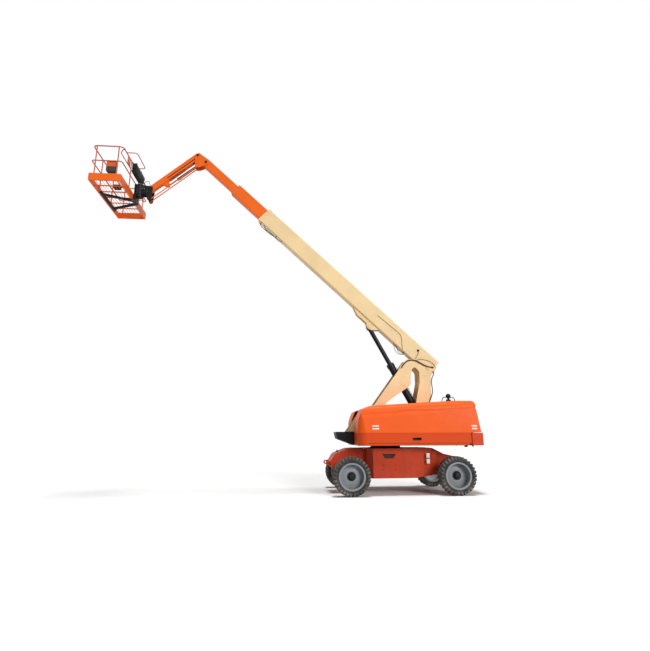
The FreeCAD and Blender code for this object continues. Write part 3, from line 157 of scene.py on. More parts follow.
class Nodes:
    """Short hand for laying out a node tree."""

    def __init__(self, tree: bpy.types.NodeTree) -> None:
        """Keeps the tree that the nodes go into."""
        self.tree = tree

    def add(self, kind: str, **values: object) -> bpy.types.Node:
        """Adds a node and sets its properties and unlinked inputs.

        Args:
            kind: the node's type name.
            **values: properties, or inputs by name with blanks as underscores.

        Returns:
            The new node.
        """
        node = self.tree.nodes.new(kind)
        for key, value in values.items():
            if hasattr(node, key):
                setattr(node, key, value)
            else:
                node.inputs[key.replace("_", " ")].default_value = value
        return node

    def link(self, source: bpy.types.NodeSocket, target: bpy.types.NodeSocket) -> None:
        """Joins an output to an input."""
        self.tree.links.new(source, target)

    def feed(self, target: bpy.types.NodeSocket, value: object) -> None:
        """Joins a socket to an input, or sets the input to a plain value."""
        if isinstance(value, bpy.types.NodeSocket):
            self.link(value, target)
        else:
            target.default_value = value

    def maths(self, how: str, first: object, second: object = None,
              clamp: bool = False) -> bpy.types.NodeSocket:
        """A Math node on two sockets or numbers.

        Args:
            how: the operation.
            first: a socket or a number.
            second: a socket or a number, if the operation takes two.
            clamp: whether the result stays between 0 and 1.

        Returns:
            The node's output.
        """
        node = self.add("ShaderNodeMath", operation=how, use_clamp=clamp)
        for slot, value in enumerate((first, second)):
            if value is not None:
                self.feed(node.inputs[slot], value)
        return node.outputs[0]

    def ramp(self, source: bpy.types.NodeSocket, low: float, high: float) -> bpy.types.NodeSocket:
        """Stretches a value so that low gives 0 and high gives 1, held between them."""
        node = self.add("ShaderNodeMapRange", interpolation_type="SMOOTHSTEP")
        self.link(source, node.inputs["Value"])
        node.inputs["From Min"].default_value = low
        node.inputs["From Max"].default_value = high
        return node.outputs["Result"]

    def mix(self, share: object, first: object, second: object) -> bpy.types.NodeSocket:
        """A colour mix of two sockets or colours.

        Args:
            share: the share of the second colour, a socket or a number.
            first: the first colour, a socket or four numbers.
            second: the second colour, a socket or four numbers.

        Returns:
            The mixed colour's output.
        """
        node = self.add("ShaderNodeMix", data_type="RGBA")
        for slot, value in ((0, share), (6, first), (7, second)):
            self.feed(node.inputs[slot], value)
        return node.outputs[2]

    def noise(self, scale: float, detail: float = 3.0,
              vector: bpy.types.NodeSocket | None = None) -> bpy.types.NodeSocket:
        """A noise value on object coordinates, or on the vector given."""
        if vector is None:
            vector = self.add("ShaderNodeTexCoord").outputs["Object"]
        node = self.add("ShaderNodeTexNoise", Scale=scale, Detail=detail)
        self.link(vector, node.inputs["Vector"])
        return node.outputs["Fac"]


def new_group(which: Group, inputs: Sequence[tuple[str, float]], outputs: Sequence[str]) -> tuple:
    """Makes an empty shader group with number inputs and outputs.

    Args:
        which: the effect.
        inputs: name and usual value of each input.
        outputs: name of each output.

    Returns:
        The group's Nodes, its input node and its output node.
    """
    tree = bpy.data.node_groups.new(which.value, "ShaderNodeTree")
    for name, value in inputs:
        tree.interface.new_socket(name, in_out="INPUT", socket_type="NodeSocketFloat").default_value = value
    for name in outputs:
        tree.interface.new_socket(name, in_out="OUTPUT", socket_type="NodeSocketFloat")
    nodes = Nodes(tree)
    return nodes, nodes.add("NodeGroupInput"), nodes.add("NodeGroupOutput")


def build_wear_group() -> None:
    """Mask of rubbed edges: where a rounded normal leaves the flat one, broken up by noise."""
    nodes, given, result = new_group(Group.WEAR, [("Radius", 0.006), ("Amount", 0.5), ("Scale", 9.0)],
                                     ["Mask"])
    rounded = nodes.add("ShaderNodeBevel", samples=4)
    nodes.link(given.outputs["Radius"], rounded.inputs["Radius"])
    flat = nodes.add("ShaderNodeNewGeometry")
    turned = nodes.add("ShaderNodeVectorMath", operation="DOT_PRODUCT")
    nodes.link(rounded.outputs[0], turned.inputs[0])
    nodes.link(flat.outputs["Normal"], turned.inputs[1])
    edge = nodes.ramp(nodes.maths("SUBTRACT", 1.0, turned.outputs["Value"]), 0.02, 0.22)
    where = nodes.add("ShaderNodeTexCoord").outputs["Object"]
    noise = nodes.add("ShaderNodeTexNoise", Detail=5.0)
    nodes.link(where, noise.inputs["Vector"])
    nodes.link(given.outputs["Scale"], noise.inputs["Scale"])
    patch = nodes.ramp(noise.outputs["Fac"], 0.47, 0.62)
    mask = nodes.maths("MULTIPLY", nodes.maths("MULTIPLY", edge, patch), given.outputs["Amount"], clamp=True)
    nodes.link(mask, result.inputs["Mask"])


def build_grime_group() -> None:
    """Masks of cloudy tone, road dust that thins with height, and fine streaks."""
    nodes, given, result = new_group(
        Group.GRIME, [("Scale", 1.6), ("Dust Height", 0.9)], ["Cloud", "Dust", "Streak"]
    )
    where = nodes.add("ShaderNodeTexCoord").outputs["Object"]
    cloud = nodes.add("ShaderNodeTexNoise", Detail=4.0, Roughness=0.6)
    nodes.link(where, cloud.inputs["Vector"])
    nodes.link(given.outputs["Scale"], cloud.inputs["Scale"])
    nodes.link(nodes.ramp(cloud.outputs["Fac"], 0.3, 0.72), result.inputs["Cloud"])
    split = nodes.add("ShaderNodeSeparateXYZ")
    nodes.link(where, split.inputs[0])
    height = nodes.maths("DIVIDE", split.outputs["Z"], given.outputs["Dust Height"])
    low = nodes.maths("SUBTRACT", 1.0, height, clamp=True)
    broken = nodes.ramp(nodes.noise(7.0, 6.0, where), 0.35, 0.7)
    nodes.link(nodes.maths("MULTIPLY", low, broken, clamp=True), result.inputs["Dust"])
    stretch = nodes.add("ShaderNodeMapping")
    stretch.inputs["Scale"].default_value = (22.0, 22.0, 0.9)
    nodes.link(where, stretch.inputs["Vector"])
    run = nodes.ramp(nodes.noise(1.0, 3.0, stretch.outputs[0]), 0.58, 0.76)
    nodes.link(run, result.inputs["Streak"])


def build_peel_group() -> None:
    """Relief of a sprayed or moulded surface, as a height for a Bump node."""
    nodes, given, result = new_group(Group.PEEL, [("Fine", 260.0), ("Broad", 14.0)], ["Height"])
    where = nodes.add("ShaderNodeTexCoord").outputs["Object"]
    fine = nodes.add("ShaderNodeTexNoise", Detail=2.0)
    broad = nodes.add("ShaderNodeTexNoise", Detail=2.0)
    for node, name in ((fine, "Fine"), (broad, "Broad")):
        nodes.link(where, node.inputs["Vector"])
        nodes.link(given.outputs[name], node.inputs["Scale"])
    height = nodes.maths("ADD", nodes.maths("MULTIPLY", fine.outputs["Fac"], 0.4), broad.outputs["Fac"])
    nodes.link(height, result.inputs["Height"])


def use_group(nodes: Nodes, which: Group, **values: float) -> bpy.types.Node:
    """Places a shared effect in a material with its own values."""
    node = nodes.add("ShaderNodeGroup", node_tree=bpy.data.node_groups[which.value])
    for key, value in values.items():
        node.inputs[key.replace("_", " ")].default_value = value
    return node


# ---- finishes -----------------------------------------------------------------------------------
COAT_ROUGHNESS = 0.12
RELIEF_DEPTH = 0.002
SMOOTHER, ROUGHER = 0.08, 0.14
DUST: Colour = (0.30, 0.26, 0.21)
PRIMER: Colour = (0.20, 0.18, 0.17)


@dataclass(frozen=True)
class Finish:
    """A surface: the record's slot that it usually shows, its colour, its gloss, and its wear and dust."""

    name: str
    slot: str
    colour: Colour
    roughness: float = 0.35
    metallic: float = 0.0
    shade: float = 0.10
    dust: float = 0.25
    dust_height: float = 0.9
    wear: float = 0.5
    wear_colour: Colour = PRIMER
    wear_radius: float = 0.006
    coat: float = 0.25
    relief: float = 0.05
    fine: float = 260.0
    broad: float = 14.0
    streaks: float = 0.15
    gloss: float = 0.35
    lower: Colour | None = None
    lower_height: float = 0.0

    def base_colour(self, nodes: Nodes) -> bpy.types.NodeSocket:
        """Colour before dust and wear, with a second colour below a height if the finish has one; on the
        hoods that second colour is painted shade.
        """
        grime = use_group(nodes, Group.GRIME, Scale=1.6, Dust_Height=self.dust_height)
        light = (*self.colour, 1.0)
        dark = (*[c * (1.0 - self.shade * 2) for c in self.colour], 1.0)
        colour = nodes.mix(grime.outputs["Cloud"], dark, light)
        if self.lower is not None:
            split = nodes.add("ShaderNodeSeparateXYZ")
            nodes.link(nodes.add("ShaderNodeTexCoord").outputs["Object"], split.inputs[0])
            above = nodes.maths("GREATER_THAN", split.outputs["Z"], self.lower_height)
            colour = nodes.mix(above, (*self.lower, 1.0), colour)
        run = nodes.maths("MULTIPLY", grime.outputs["Streak"], self.streaks)
        colour = nodes.mix(run, colour, (*[c * 0.45 for c in self.colour], 1.0))
        powder = nodes.maths("MULTIPLY", grime.outputs["Dust"], self.dust)
        return nodes.mix(powder, colour, (*DUST, 1.0))

    def build(self) -> bpy.types.Material:
        """Makes the material, or gives back the one made before."""
        if self.name in bpy.data.materials:
            return bpy.data.materials[self.name]
        material = bpy.data.materials.new(self.name)
        material.use_nodes = True
        tree = material.node_tree
        nodes = Nodes(tree)
        shader = tree.nodes["Principled BSDF"]
        shader.inputs["Metallic"].default_value = self.metallic
        shader.inputs["Coat Weight"].default_value = self.coat
        shader.inputs["Specular IOR Level"].default_value = self.gloss
        shader.inputs["Coat Roughness"].default_value = COAT_ROUGHNESS
        colour = self.base_colour(nodes)
        rub = use_group(nodes, Group.WEAR, Radius=self.wear_radius, Amount=self.wear)
        colour = nodes.mix(rub.outputs["Mask"], colour, (*self.wear_colour, 1.0))
        nodes.link(colour, shader.inputs["Base Color"])
        patch = nodes.ramp(nodes.noise(5.0, 5.0), 0.2, 0.8)
        rough = nodes.add("ShaderNodeMapRange")
        nodes.link(patch, rough.inputs["Value"])
        rough.inputs["To Min"].default_value = max(self.roughness - SMOOTHER, 0.05)
        rough.inputs["To Max"].default_value = min(self.roughness + ROUGHER, 1.0)
        nodes.link(rough.outputs[0], shader.inputs["Roughness"])
        peel = use_group(nodes, Group.PEEL, Fine=self.fine, Broad=self.broad)
        bump = nodes.add("ShaderNodeBump", Strength=self.relief, Distance=RELIEF_DEPTH)
        nodes.link(peel.outputs["Height"], bump.inputs["Height"])
        nodes.link(bump.outputs[0], shader.inputs["Normal"])
        return material


ORANGE_PAINT = Finish("orange_enamel", "paint_orange", (0.92, 0.150, 0.012), roughness=0.32, coat=0.1,
                      gloss=0.15, shade=0.04, dust=0.10, streaks=0.06)
RED_ORANGE_PAINT = Finish("chassis_orange_enamel", "paint_orange", (0.58, 0.052, 0.014), roughness=0.45,
                          coat=0.05, gloss=0.15, dust=0.15, streaks=0.15)
CREAM_PAINT = Finish("cream_enamel", "paint_cream", (0.93, 0.69, 0.37), roughness=0.36, coat=0.15, gloss=0.2,
                     shade=0.05, dust=0.06, streaks=0.08, wear=0.35)
GREY_PAINT = Finish("wheel_grey_enamel", "paint_grey", (0.29, 0.312, 0.34), roughness=0.4, coat=0.15,
                    shade=0.1, dust=0.4, wear=0.6)
BLACK_PAINT = Finish("black_enamel", "paint_black", (0.008, 0.008, 0.010), roughness=0.5, coat=0.04,
                     gloss=0.2, dust=0.12, wear=0.4, wear_colour=(0.16, 0.155, 0.15))
TYRE_RUBBER = Finish("tyre_rubber", "tyre", (0.075, 0.074, 0.074), roughness=0.78, coat=0.0, shade=0.22,
                     dust=0.75, dust_height=1.4, wear=0.35, wear_colour=(0.22, 0.21, 0.20), relief=0.35,
                     fine=420.0, broad=60.0)
HOSE_RUBBER = Finish("hose_rubber", "hose_rubber", (0.010, 0.010, 0.011), roughness=0.6, coat=0.02, gloss=0.2,
                     dust=0.1, wear=0.1, relief=0.2, fine=600.0)
BLACK_PLASTIC = Finish("black_plastic", "plastic_black", (0.010, 0.010, 0.012), roughness=0.6, coat=0.02,
                       gloss=0.2, dust=0.1, wear=0.25, wear_colour=(0.10, 0.10, 0.105), relief=0.25,
                       fine=900.0)
DARK_ROD = Finish("nitrided_rod", "chrome_rod", (0.018, 0.018, 0.020), roughness=0.3, metallic=0.7, gloss=0.2,
                  coat=0.0, dust=0.0, wear=0.1, wear_colour=(0.3, 0.3, 0.3), relief=0.02, fine=900.0,
                  streaks=0.0)
ENGINE_IRON = Finish("engine_iron", "engine_iron", (0.06, 0.062, 0.066), roughness=0.6, metallic=0.4,
                     coat=0.0, dust=0.2, relief=0.5, fine=160.0)
SIDEWALL_RUBBER = Finish("sidewall_rubber", "tyre", (0.022, 0.022, 0.024), roughness=0.62, coat=0.0,
                         shade=0.15, dust=0.30, dust_height=1.2, wear=0.1, wear_colour=(0.12, 0.12, 0.12),
                         relief=0.2, fine=500.0, broad=40.0)
SEAL_RUBBER = Finish("seal_rubber", "plastic_black", (0.03, 0.012, 0.008), roughness=0.7, coat=0.0, dust=0.1,
                     wear=0.0, relief=0.1, fine=600.0)
POCKET_SHADE = Finish("pocket_shade", "paint_black", (0.035, 0.010, 0.006), roughness=0.6, coat=0.0, dust=0.2,
                      wear=0.1, relief=0.1)
PALE_PLATE = Finish("blank_plate", "paint_cream", (0.86, 0.80, 0.76), roughness=0.4, coat=0.2, shade=0.05,
                    dust=0.15, wear=0.3, wear_colour=(0.6, 0.3, 0.2), relief=0.02, fine=500.0, streaks=0.1)
# Near-black, rough, bumpy pad on the chassis's rear slope: painted shade of the dark band there.
SLOPE_SHADE_PAD = Finish("grip_pad", "paint_black", (0.016, 0.016, 0.016), roughness=0.9, coat=0.0, dust=0.3,
                  wear=0.3, wear_colour=(0.10, 0.10, 0.10), relief=0.9, fine=700.0, broad=180.0)
ZINC_STEEL = Finish("zinc_steel", "paint_grey", (0.42, 0.42, 0.40), roughness=0.38, metallic=1.0, coat=0.0,
                    dust=0.05, shade=0.1, wear=0.1, wear_colour=(0.2, 0.18, 0.15), relief=0.1, fine=800.0,
                    streaks=0.05)
# Grey of the console's face panel, also used for the painted highlight strip on its rear face.
CONSOLE_GREY = Finish("console_grey", "plastic_black", (0.26, 0.27, 0.29), roughness=0.5, coat=0.05,
                      dust=0.05, wear=0.2, relief=0.1, fine=900.0)
STOP_RED = Finish("stop_red", "plastic_orange", (0.55, 0.015, 0.012), roughness=0.3, coat=0.3, dust=0.0,
                  wear=0.1, relief=0.03, fine=700.0)
RAIL_PAINT = Finish("rail_enamel", "paint_orange", (0.62, 0.085, 0.018), roughness=0.36, coat=0.3, dust=0.05,
                    streaks=0.15, wear=0.7, wear_colour=(0.22, 0.15, 0.12), wear_radius=0.004)
PLACARD = Finish("placard", "paint_orange", (0.75, 0.13, 0.03), roughness=0.4, coat=0.2, dust=0.05,
                 streaks=0.4, wear=0.3)
WEIGHT_PAINT = Finish("weight_enamel", "paint_orange", (0.74, 0.066, 0.012), roughness=0.36, coat=0.1,
                      gloss=0.18, dust=0.15, streaks=0.1)
# Hood enamel: the darker, redder colour below the belt (lower, lower_height) is painted shade on the set-in
# lower band.
HOOD_PAINT = Finish("hood_enamel", "paint_orange", (0.90, 0.115, 0.010), roughness=0.42, coat=0.05,
                    gloss=0.12, dust=0.06, streaks=0.05, shade=0.02, lower=(0.72, 0.072, 0.008),
                    lower_height=HOOD_BELT / 1000)
TOOL_BOX_PLASTIC = Finish("tool_box_plastic", "plastic_orange", (0.80, 0.12, 0.02), roughness=0.45, coat=0.1,
                          relief=0.2, fine=700.0, lower=(0.03, 0.03, 0.034),
                          lower_height=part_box("tool_box")[0][2] + 0.13)

NODE_FINISH: dict[str, Finish] = {
    "chassis_frame": RED_ORANGE_PAINT, "front_axle": RED_ORANGE_PAINT, "rear_axle": RED_ORANGE_PAINT,
    "knuckle_left": RED_ORANGE_PAINT, "knuckle_right": RED_ORANGE_PAINT, "tie_rod": BLACK_PAINT,
    "slew_ring": BLACK_PAINT, "turntable_deck": BLACK_PAINT, "turntable_nose": BLACK_PAINT,
    "boom_upright": CREAM_PAINT, "counterweight": WEIGHT_PAINT, "engine_block": ENGINE_IRON,
    "hood_left": HOOD_PAINT, "hood_right": HOOD_PAINT, "hood_beacon": BLACK_PLASTIC,
    "base_boom": CREAM_PAINT, "mid_boom": ORANGE_PAINT, "fly_boom": ORANGE_PAINT,
    "lift_cylinder_barrel": BLACK_PAINT, "lift_cylinder_rod": DARK_ROD, "nose_bracket": ORANGE_PAINT,
    "jib_boom": ORANGE_PAINT, "jib_cylinder_barrel": BLACK_PAINT, "jib_cylinder_rod": DARK_ROD,
    "level_links": ORANGE_PAINT, "platform_support": BLACK_PAINT, "platform_mount": BLACK_PAINT,
    "platform_floor": ORANGE_PAINT, "platform_rails": RAIL_PAINT, "entry_bar": RAIL_PAINT,
    "console_guard": RAIL_PAINT, "hose_guide": BLACK_PAINT, "control_console": BLACK_PLASTIC,
    "tool_box": TOOL_BOX_PLASTIC, "boom_hose": HOSE_RUBBER, "upright_hose": HOSE_RUBBER,
    "jib_hose": HOSE_RUBBER,
}


def finish_of(node: str) -> Finish:
    """The finish of a frame node."""
    if node.startswith("tyre"):
        return TYRE_RUBBER
    if node.startswith("rim"):
        return GREY_PAINT
    if node.startswith("hub"):
        return BLACK_PAINT
    return NODE_FINISH[node]


def paint(piece: bpy.types.Object, finish: Finish) -> None:
    """Gives a whole piece one finish."""
    piece.data.materials.clear()
    piece.data.materials.append(finish.build())


# ---- modelling tools ----------------------------------------------------------------------------
MERGE_WITHIN = 1e-5


def deselect() -> None:
    """Leaves edit mode and selects nothing."""
    if bpy.context.object is not None and bpy.context.object.mode != "OBJECT":
        bpy.ops.object.mode_set(mode="OBJECT")
    bpy.ops.object.select_all(action="DESELECT")


def settle(name: str, smooth: float = 35.0) -> bpy.types.Object:
    """Ends work on the active piece: place into the mesh, normals out, smooth below an angle.

    Args:
        name: the piece's name.
        smooth: angle in degrees under which two faces shade as one.

    Returns:
        The finished piece.
    """
    piece = bpy.context.object
    if piece.mode != "OBJECT":
        bpy.ops.object.mode_set(mode="OBJECT")
    piece.name = name
    piece.data.name = name
    bpy.ops.object.transform_apply(location=True, rotation=True, scale=True)
    bpy.ops.object.mode_set(mode="EDIT")
    bpy.ops.mesh.select_all(action="SELECT")
    bpy.ops.mesh.remove_doubles(threshold=MERGE_WITHIN)
    bpy.ops.mesh.normals_make_consistent(inside=False)
    bpy.ops.object.mode_set(mode="OBJECT")
    bpy.ops.object.shade_smooth_by_angle(angle=math.radians(smooth))
    deselect()
    return piece


def block(name: str, low: Point, high: Point, edge: float = 0.0, segments: int = 2) -> bpy.types.Object:
    """A box between two corners with its edges rounded.

    Args:
        name: the piece's name.
        low: lowest corner.
        high: highest corner.
        edge: width of the rounded edges.
        segments: steps across an edge.

    Returns:
        The piece.
    """
    deselect()
    a, b = Vector(low), Vector(high)
    bpy.ops.mesh.primitive_cube_add(size=1.0, location=(a + b) / 2, scale=b - a)
    bpy.ops.object.transform_apply(location=False, rotation=False, scale=True)
    if edge > 0:
        bpy.ops.object.mode_set(mode="EDIT")
        bpy.ops.mesh.select_all(action="SELECT")
        bpy.ops.mesh.bevel(offset=edge, segments=segments, affect="EDGES")
    return settle(name)


def side_block(name: str, x: Span, y: Span, z: Span, edge: float = 0.0) -> bpy.types.Object:
    """A rounded block between limits in layout millimetres, with those along y in either order."""
    return block(name, lay(x[0], min(y), z[0]), lay(x[1], max(y), z[1]), edge)


def start_line(point: Vector) -> None:
    """Leaves one selected vertex at a point, in edit mode, ready to be extruded into a line."""
    bpy.ops.mesh.primitive_plane_add(size=0.01, location=point)
    bpy.ops.object.transform_apply(location=True, rotation=True, scale=True)
    bpy.ops.object.mode_set(mode="EDIT")
    bpy.ops.mesh.select_mode(type="VERT")
    bpy.ops.mesh.select_all(action="SELECT")
    bpy.ops.mesh.merge(type="CENTER")


def turned_profile(name: str, profile: Sequence[tuple[float, float]], centre: Vector, axis: Vector,
                   steps: int = 48) -> bpy.types.Object:
    """A line drawn by extruding a point, then spun about an axis.

    Args:
        name: the piece's name.
        profile: corners as (distance along the axis, radius).
        centre: a point on the axis.
        axis: the axis.
        steps: steps round the turn.

    Returns:
        The piece.
    """
    deselect()
    axis = axis.normalized()
    out = UP if abs(axis.z) < 0.9 else AHEAD
    out = (out - axis * out.dot(axis)).normalized()
    corners = [centre + axis * along + out * radius for along, radius in profile]
    start_line(corners[0])
    for start, end in zip(corners, corners[1:]):
        bpy.ops.mesh.extrude_region_move(TRANSFORM_OT_translate={"value": end - start})
    bpy.ops.mesh.select_all(action="SELECT")
    bpy.ops.mesh.spin(steps=steps, angle=2 * math.pi, center=centre, axis=axis)
    return settle(name)


def spline(name: str, points: Sequence[Vector], radius: float, steps: int) -> bpy.types.Object:
    """A smooth round line with closed ends, kept as a curve.

    Args:
        name: the piece's name.
        points: the points that it is drawn towards.
        radius: the line's radius.
        steps: steps between two points.

    Returns:
        The piece.
    """
    curve = bpy.data.curves.new(name, "CURVE")
    curve.dimensions = "3D"
    curve.bevel_depth = radius
    curve.bevel_resolution = 3
    curve.use_fill_caps = True
    line = curve.splines.new("NURBS")
    line.points.add(len(points) - 1)
    for spot, point in zip(line.points, points):
        spot.co = (*point, 1.0)
    line.order_u = 3
    line.use_endpoint_u = True
    line.resolution_u = steps
    piece = bpy.data.objects.new(name, curve)
    bpy.context.scene.collection.objects.link(piece)
    return piece


def tube(name: str, points: Sequence[Vector], radius: float) -> bpy.types.Object:
    """A round bar or pipe along a smooth line, as a mesh."""
    deselect()
    piece = spline(name, points, radius, 6)
    bpy.context.view_layer.objects.active = piece
    piece.select_set(True)
    bpy.ops.object.convert(target="MESH")
    return settle(name, 50.0)


def copies(piece: bpy.types.Object, places: Iterable[Callable[[Vector], Vector]]) -> list[bpy.types.Object]:
    """Copies a piece, each with its own mesh, moved by a rule for its points."""
    made = []
    for index, rule in enumerate(places):
        other = piece.copy()
        other.data = piece.data.copy()
        other.name = f"{piece.name}_{index + 2}"
        bpy.context.scene.collection.objects.link(other)
        for vertex in other.data.vertices:
            vertex.co = rule(vertex.co)
        made.append(other)
    return made


def joined(name: str, pieces: Sequence[bpy.types.Object]) -> bpy.types.Object:
    """Joins several pieces into one."""
    deselect()
    for piece in pieces:
        piece.select_set(True)
    bpy.context.view_layer.objects.active = pieces[0]
    bpy.ops.object.join()
    whole = bpy.context.object
    whole.name = name
    whole.data.name = name
    deselect()
    return whole


def plate(name: str, corners: Sequence[Vector], depth: Vector, edge: float = 0.0) -> bpy.types.Object:
    """A flat outline drawn corner by corner, filled, and given a thickness and rounded edges.

    Args:
        name: the piece's name.
        corners: the outline's corners in order, in one plane.
        depth: the step from the outline to its other face.
        edge: width of the rounded edges.

    Returns:
        The piece.
    """
    deselect()
    start_line(Vector(corners[0]))
    for start, end in zip(corners, corners[1:]):
        bpy.ops.mesh.extrude_region_move(TRANSFORM_OT_translate={"value": Vector(end) - Vector(start)})
    bpy.ops.mesh.select_all(action="SELECT")
    bpy.ops.mesh.edge_face_add()
    bpy.ops.mesh.extrude_region_move(TRANSFORM_OT_translate={"value": depth})
    if edge > 0:
        bpy.ops.mesh.select_all(action="SELECT")
        bpy.ops.mesh.bevel(offset=edge, segments=1, affect="EDGES", clamp_overlap=True)
    return settle(name)


def ring(centre: Vector, axis: Vector, radius: float, count: int) -> list[Vector]:
    """Points spread evenly on a circle round an axis."""
    axis = axis.normalized()
    first = axis.orthogonal().normalized() * radius
    second = axis.cross(first)
    turns = [2 * math.pi * i / count for i in range(count)]
    return [centre + first * math.cos(t) + second * math.sin(t) for t in turns]


def spread(piece: bpy.types.Object, rules: Sequence[Callable[[Vector], Vector]]) -> bpy.types.Object:
    """Copies a model piece by each rule and joins the copies into one piece with the model's name."""
    name = piece.name
    made = copies(piece, rules)
    bpy.data.objects.remove(piece)
    whole = joined(name, made)
    bpy.context.view_layer.objects.active = whole
    whole.select_set(True)
    return settle(name)


def bolts(name: str, places: Sequence[Vector], axis: Vector, across: float,
          height: float) -> bpy.types.Object:
    """Hexagon heads with a washer and a turned-down end, one at each place.

    Args:
        name: the piece's name.
        places: the centres of the heads' seats.
        axis: the way that the heads stand out.
        across: width across a head's corners.
        height: height of a head.

    Returns:
        The joined bolts.
    """
    axis = axis.normalized()
    deselect()
    turn = axis.to_track_quat("Z", "Y").to_euler()
    bpy.ops.mesh.primitive_cylinder_add(vertices=6, radius=across / 2, depth=height,
                                        location=axis * height / 2, rotation=turn)
    bpy.ops.object.mode_set(mode="EDIT")
    bpy.ops.mesh.select_mode(type="FACE")
    bpy.ops.mesh.select_all(action="DESELECT")
    bpy.ops.object.mode_set(mode="OBJECT")
    mesh = bpy.context.object.data
    for face in mesh.polygons:
        face.select = len(face.vertices) == 6 and face.normal.z > 0.5
    bpy.ops.object.mode_set(mode="EDIT")
    bpy.ops.mesh.inset(thickness=across * 0.12)
    bpy.ops.mesh.extrude_region_move(TRANSFORM_OT_translate={"value": axis * height * 0.35})
    bpy.ops.transform.resize(value=(0.8, 0.8, 0.8))
    head = settle(f"{name}_head", 25.0)
    washer = turned_profile(f"{name}_washer",
                            [(-0.002, 0.0), (-0.002, across * 0.62), (height * 0.16, across * 0.60),
                             (height * 0.16, 0.0)], Vector((0, 0, 0)), axis, 14)
    whole = joined(name, [head, washer])
    return spread(whole, [lambda point, place=place: point + place for place in places])


def pin_cap(name: str, centre: Vector, axis: Vector, radius: float) -> bpy.types.Object:
    """End of a pivot pin with its keeper plate, grease nipple and two bolts."""
    cap = turned_profile(f"{name}_disc",
                         [(-0.002, 0.0), (-0.002, radius), (0.005, radius), (0.008, radius * 0.92),
                          (0.008, radius * 0.55), (0.005, radius * 0.5), (0.005, radius * 0.16),
                          (0.014, radius * 0.13), (0.014, 0.0)], centre, axis, 36)
    places = [centre + axis * 0.005 + Vector((way * radius * 0.74, 0.0, 0.0)) for way in (-1, 1)]
    heads = bolts(f"{name}_bolts", places, axis, radius * 0.34, 0.008)
    return joined(name, [cap, heads])


def block_on(name: str, centre: Vector, way: Vector, up: Vector, size: Point, above: float,
             edge: float) -> bpy.types.Object:
    """A rounded block standing on a sloping member.

    Args:
        name: the piece's name.
        centre: a point on the member's axis.
        way: the member's direction.
        up: the direction square to it that the block stands out in.
        size: length along the member, width across the machine, and height.
        above: distance from the axis to the middle of the block.
        edge: width of the rounded edges.

    Returns:
        The piece.
    """
    length, width, height = size
    base = centre + up * (above - height / 2)
    corners = [base + way * (a * length / 2) + leftward(b * width / 2)
               for a, b in ((-1, -1), (1, -1), (1, 1), (-1, 1))]
    return plate(name, corners, up * height, edge)


def frame_of(piece: bpy.types.Object, width: float) -> bpy.types.Object:
    """Opens the outer and inner faces of a thin plate on the machine's side, leaving a frame."""
    name = piece.name
    bpy.context.view_layer.objects.active = piece
    piece.select_set(True)
    for edge in piece.data.edges:
        edge.select = False
    for vertex in piece.data.vertices:
        vertex.select = False
    for face in piece.data.polygons:
        face.select = abs(face.normal.y) > 0.5
    bpy.ops.object.mode_set(mode="EDIT")
    bpy.ops.mesh.select_mode(type="FACE")
    bpy.ops.mesh.inset(thickness=width, use_individual=True)
    bpy.ops.mesh.bridge_edge_loops()
    return settle(name)


def fit(piece: bpy.types.Object, body: str, finish: Finish, *nodes: str, slot: str = "") -> bpy.types.Object:
    """Paints a piece, lets it ride on a body and, if named, stand for frame nodes.

    Args:
        piece: the piece.
        body: the frame body that it moves with.
        finish: its finish.
        *nodes: frame nodes that it replaces.
        slot: the record's material slot, if it is not the finish's usual one; it is not used.

    Returns:
        The piece.
    """
    paint(piece, finish)
    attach(piece, body)
    slot or finish.slot
    if nodes:
        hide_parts(*nodes)
    LOG.info("%s rides on %s", piece.name, body)
    return piece


# ---- hoses and leads ----------------------------------------------------------------------------
class Hang(Enum):
    """How a hose lies."""

    HANGING = "hanging"
    TAUT = "taut"


@dataclass(frozen=True)
class HoseRun:
    """A hose or lead: the points that it is drawn towards, in layout millimetres, and its size."""

    name: str
    body: str
    diameter: float
    points: tuple[Point, ...]
    lay: Hang = Hang.HANGING
    stands_for: str = ""

    def build(self) -> bpy.types.Object:
        deselect()
        piece = spline(self.name, [lay(*point) for point in self.points], self.diameter / 2, 8)
        piece.data.materials.append(HOSE_RUBBER.build())
        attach(piece, self.body)
        if self.stands_for:
            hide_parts(self.stands_for)
        tuple(lay(*self.points[0]))
        self.length(piece)
        LOG.info("%s rides on %s", self.name, self.body)
        return piece

    def length(self, piece: bpy.types.Object) -> float:
        """Length of the drawn line, read from its spline with no bevel."""
        bare = piece.data.copy()
        bare.bevel_depth = 0.0
        holder = bpy.data.objects.new("measure", bare)
        mesh = bpy.data.meshes.new_from_object(holder)
        spots = [vertex.co for vertex in mesh.vertices]
        total = sum((b - a).length for a, b in zip(spots, spots[1:]))
        bpy.data.objects.remove(holder)
        bpy.data.curves.remove(bare)
        bpy.data.meshes.remove(mesh)
        return total


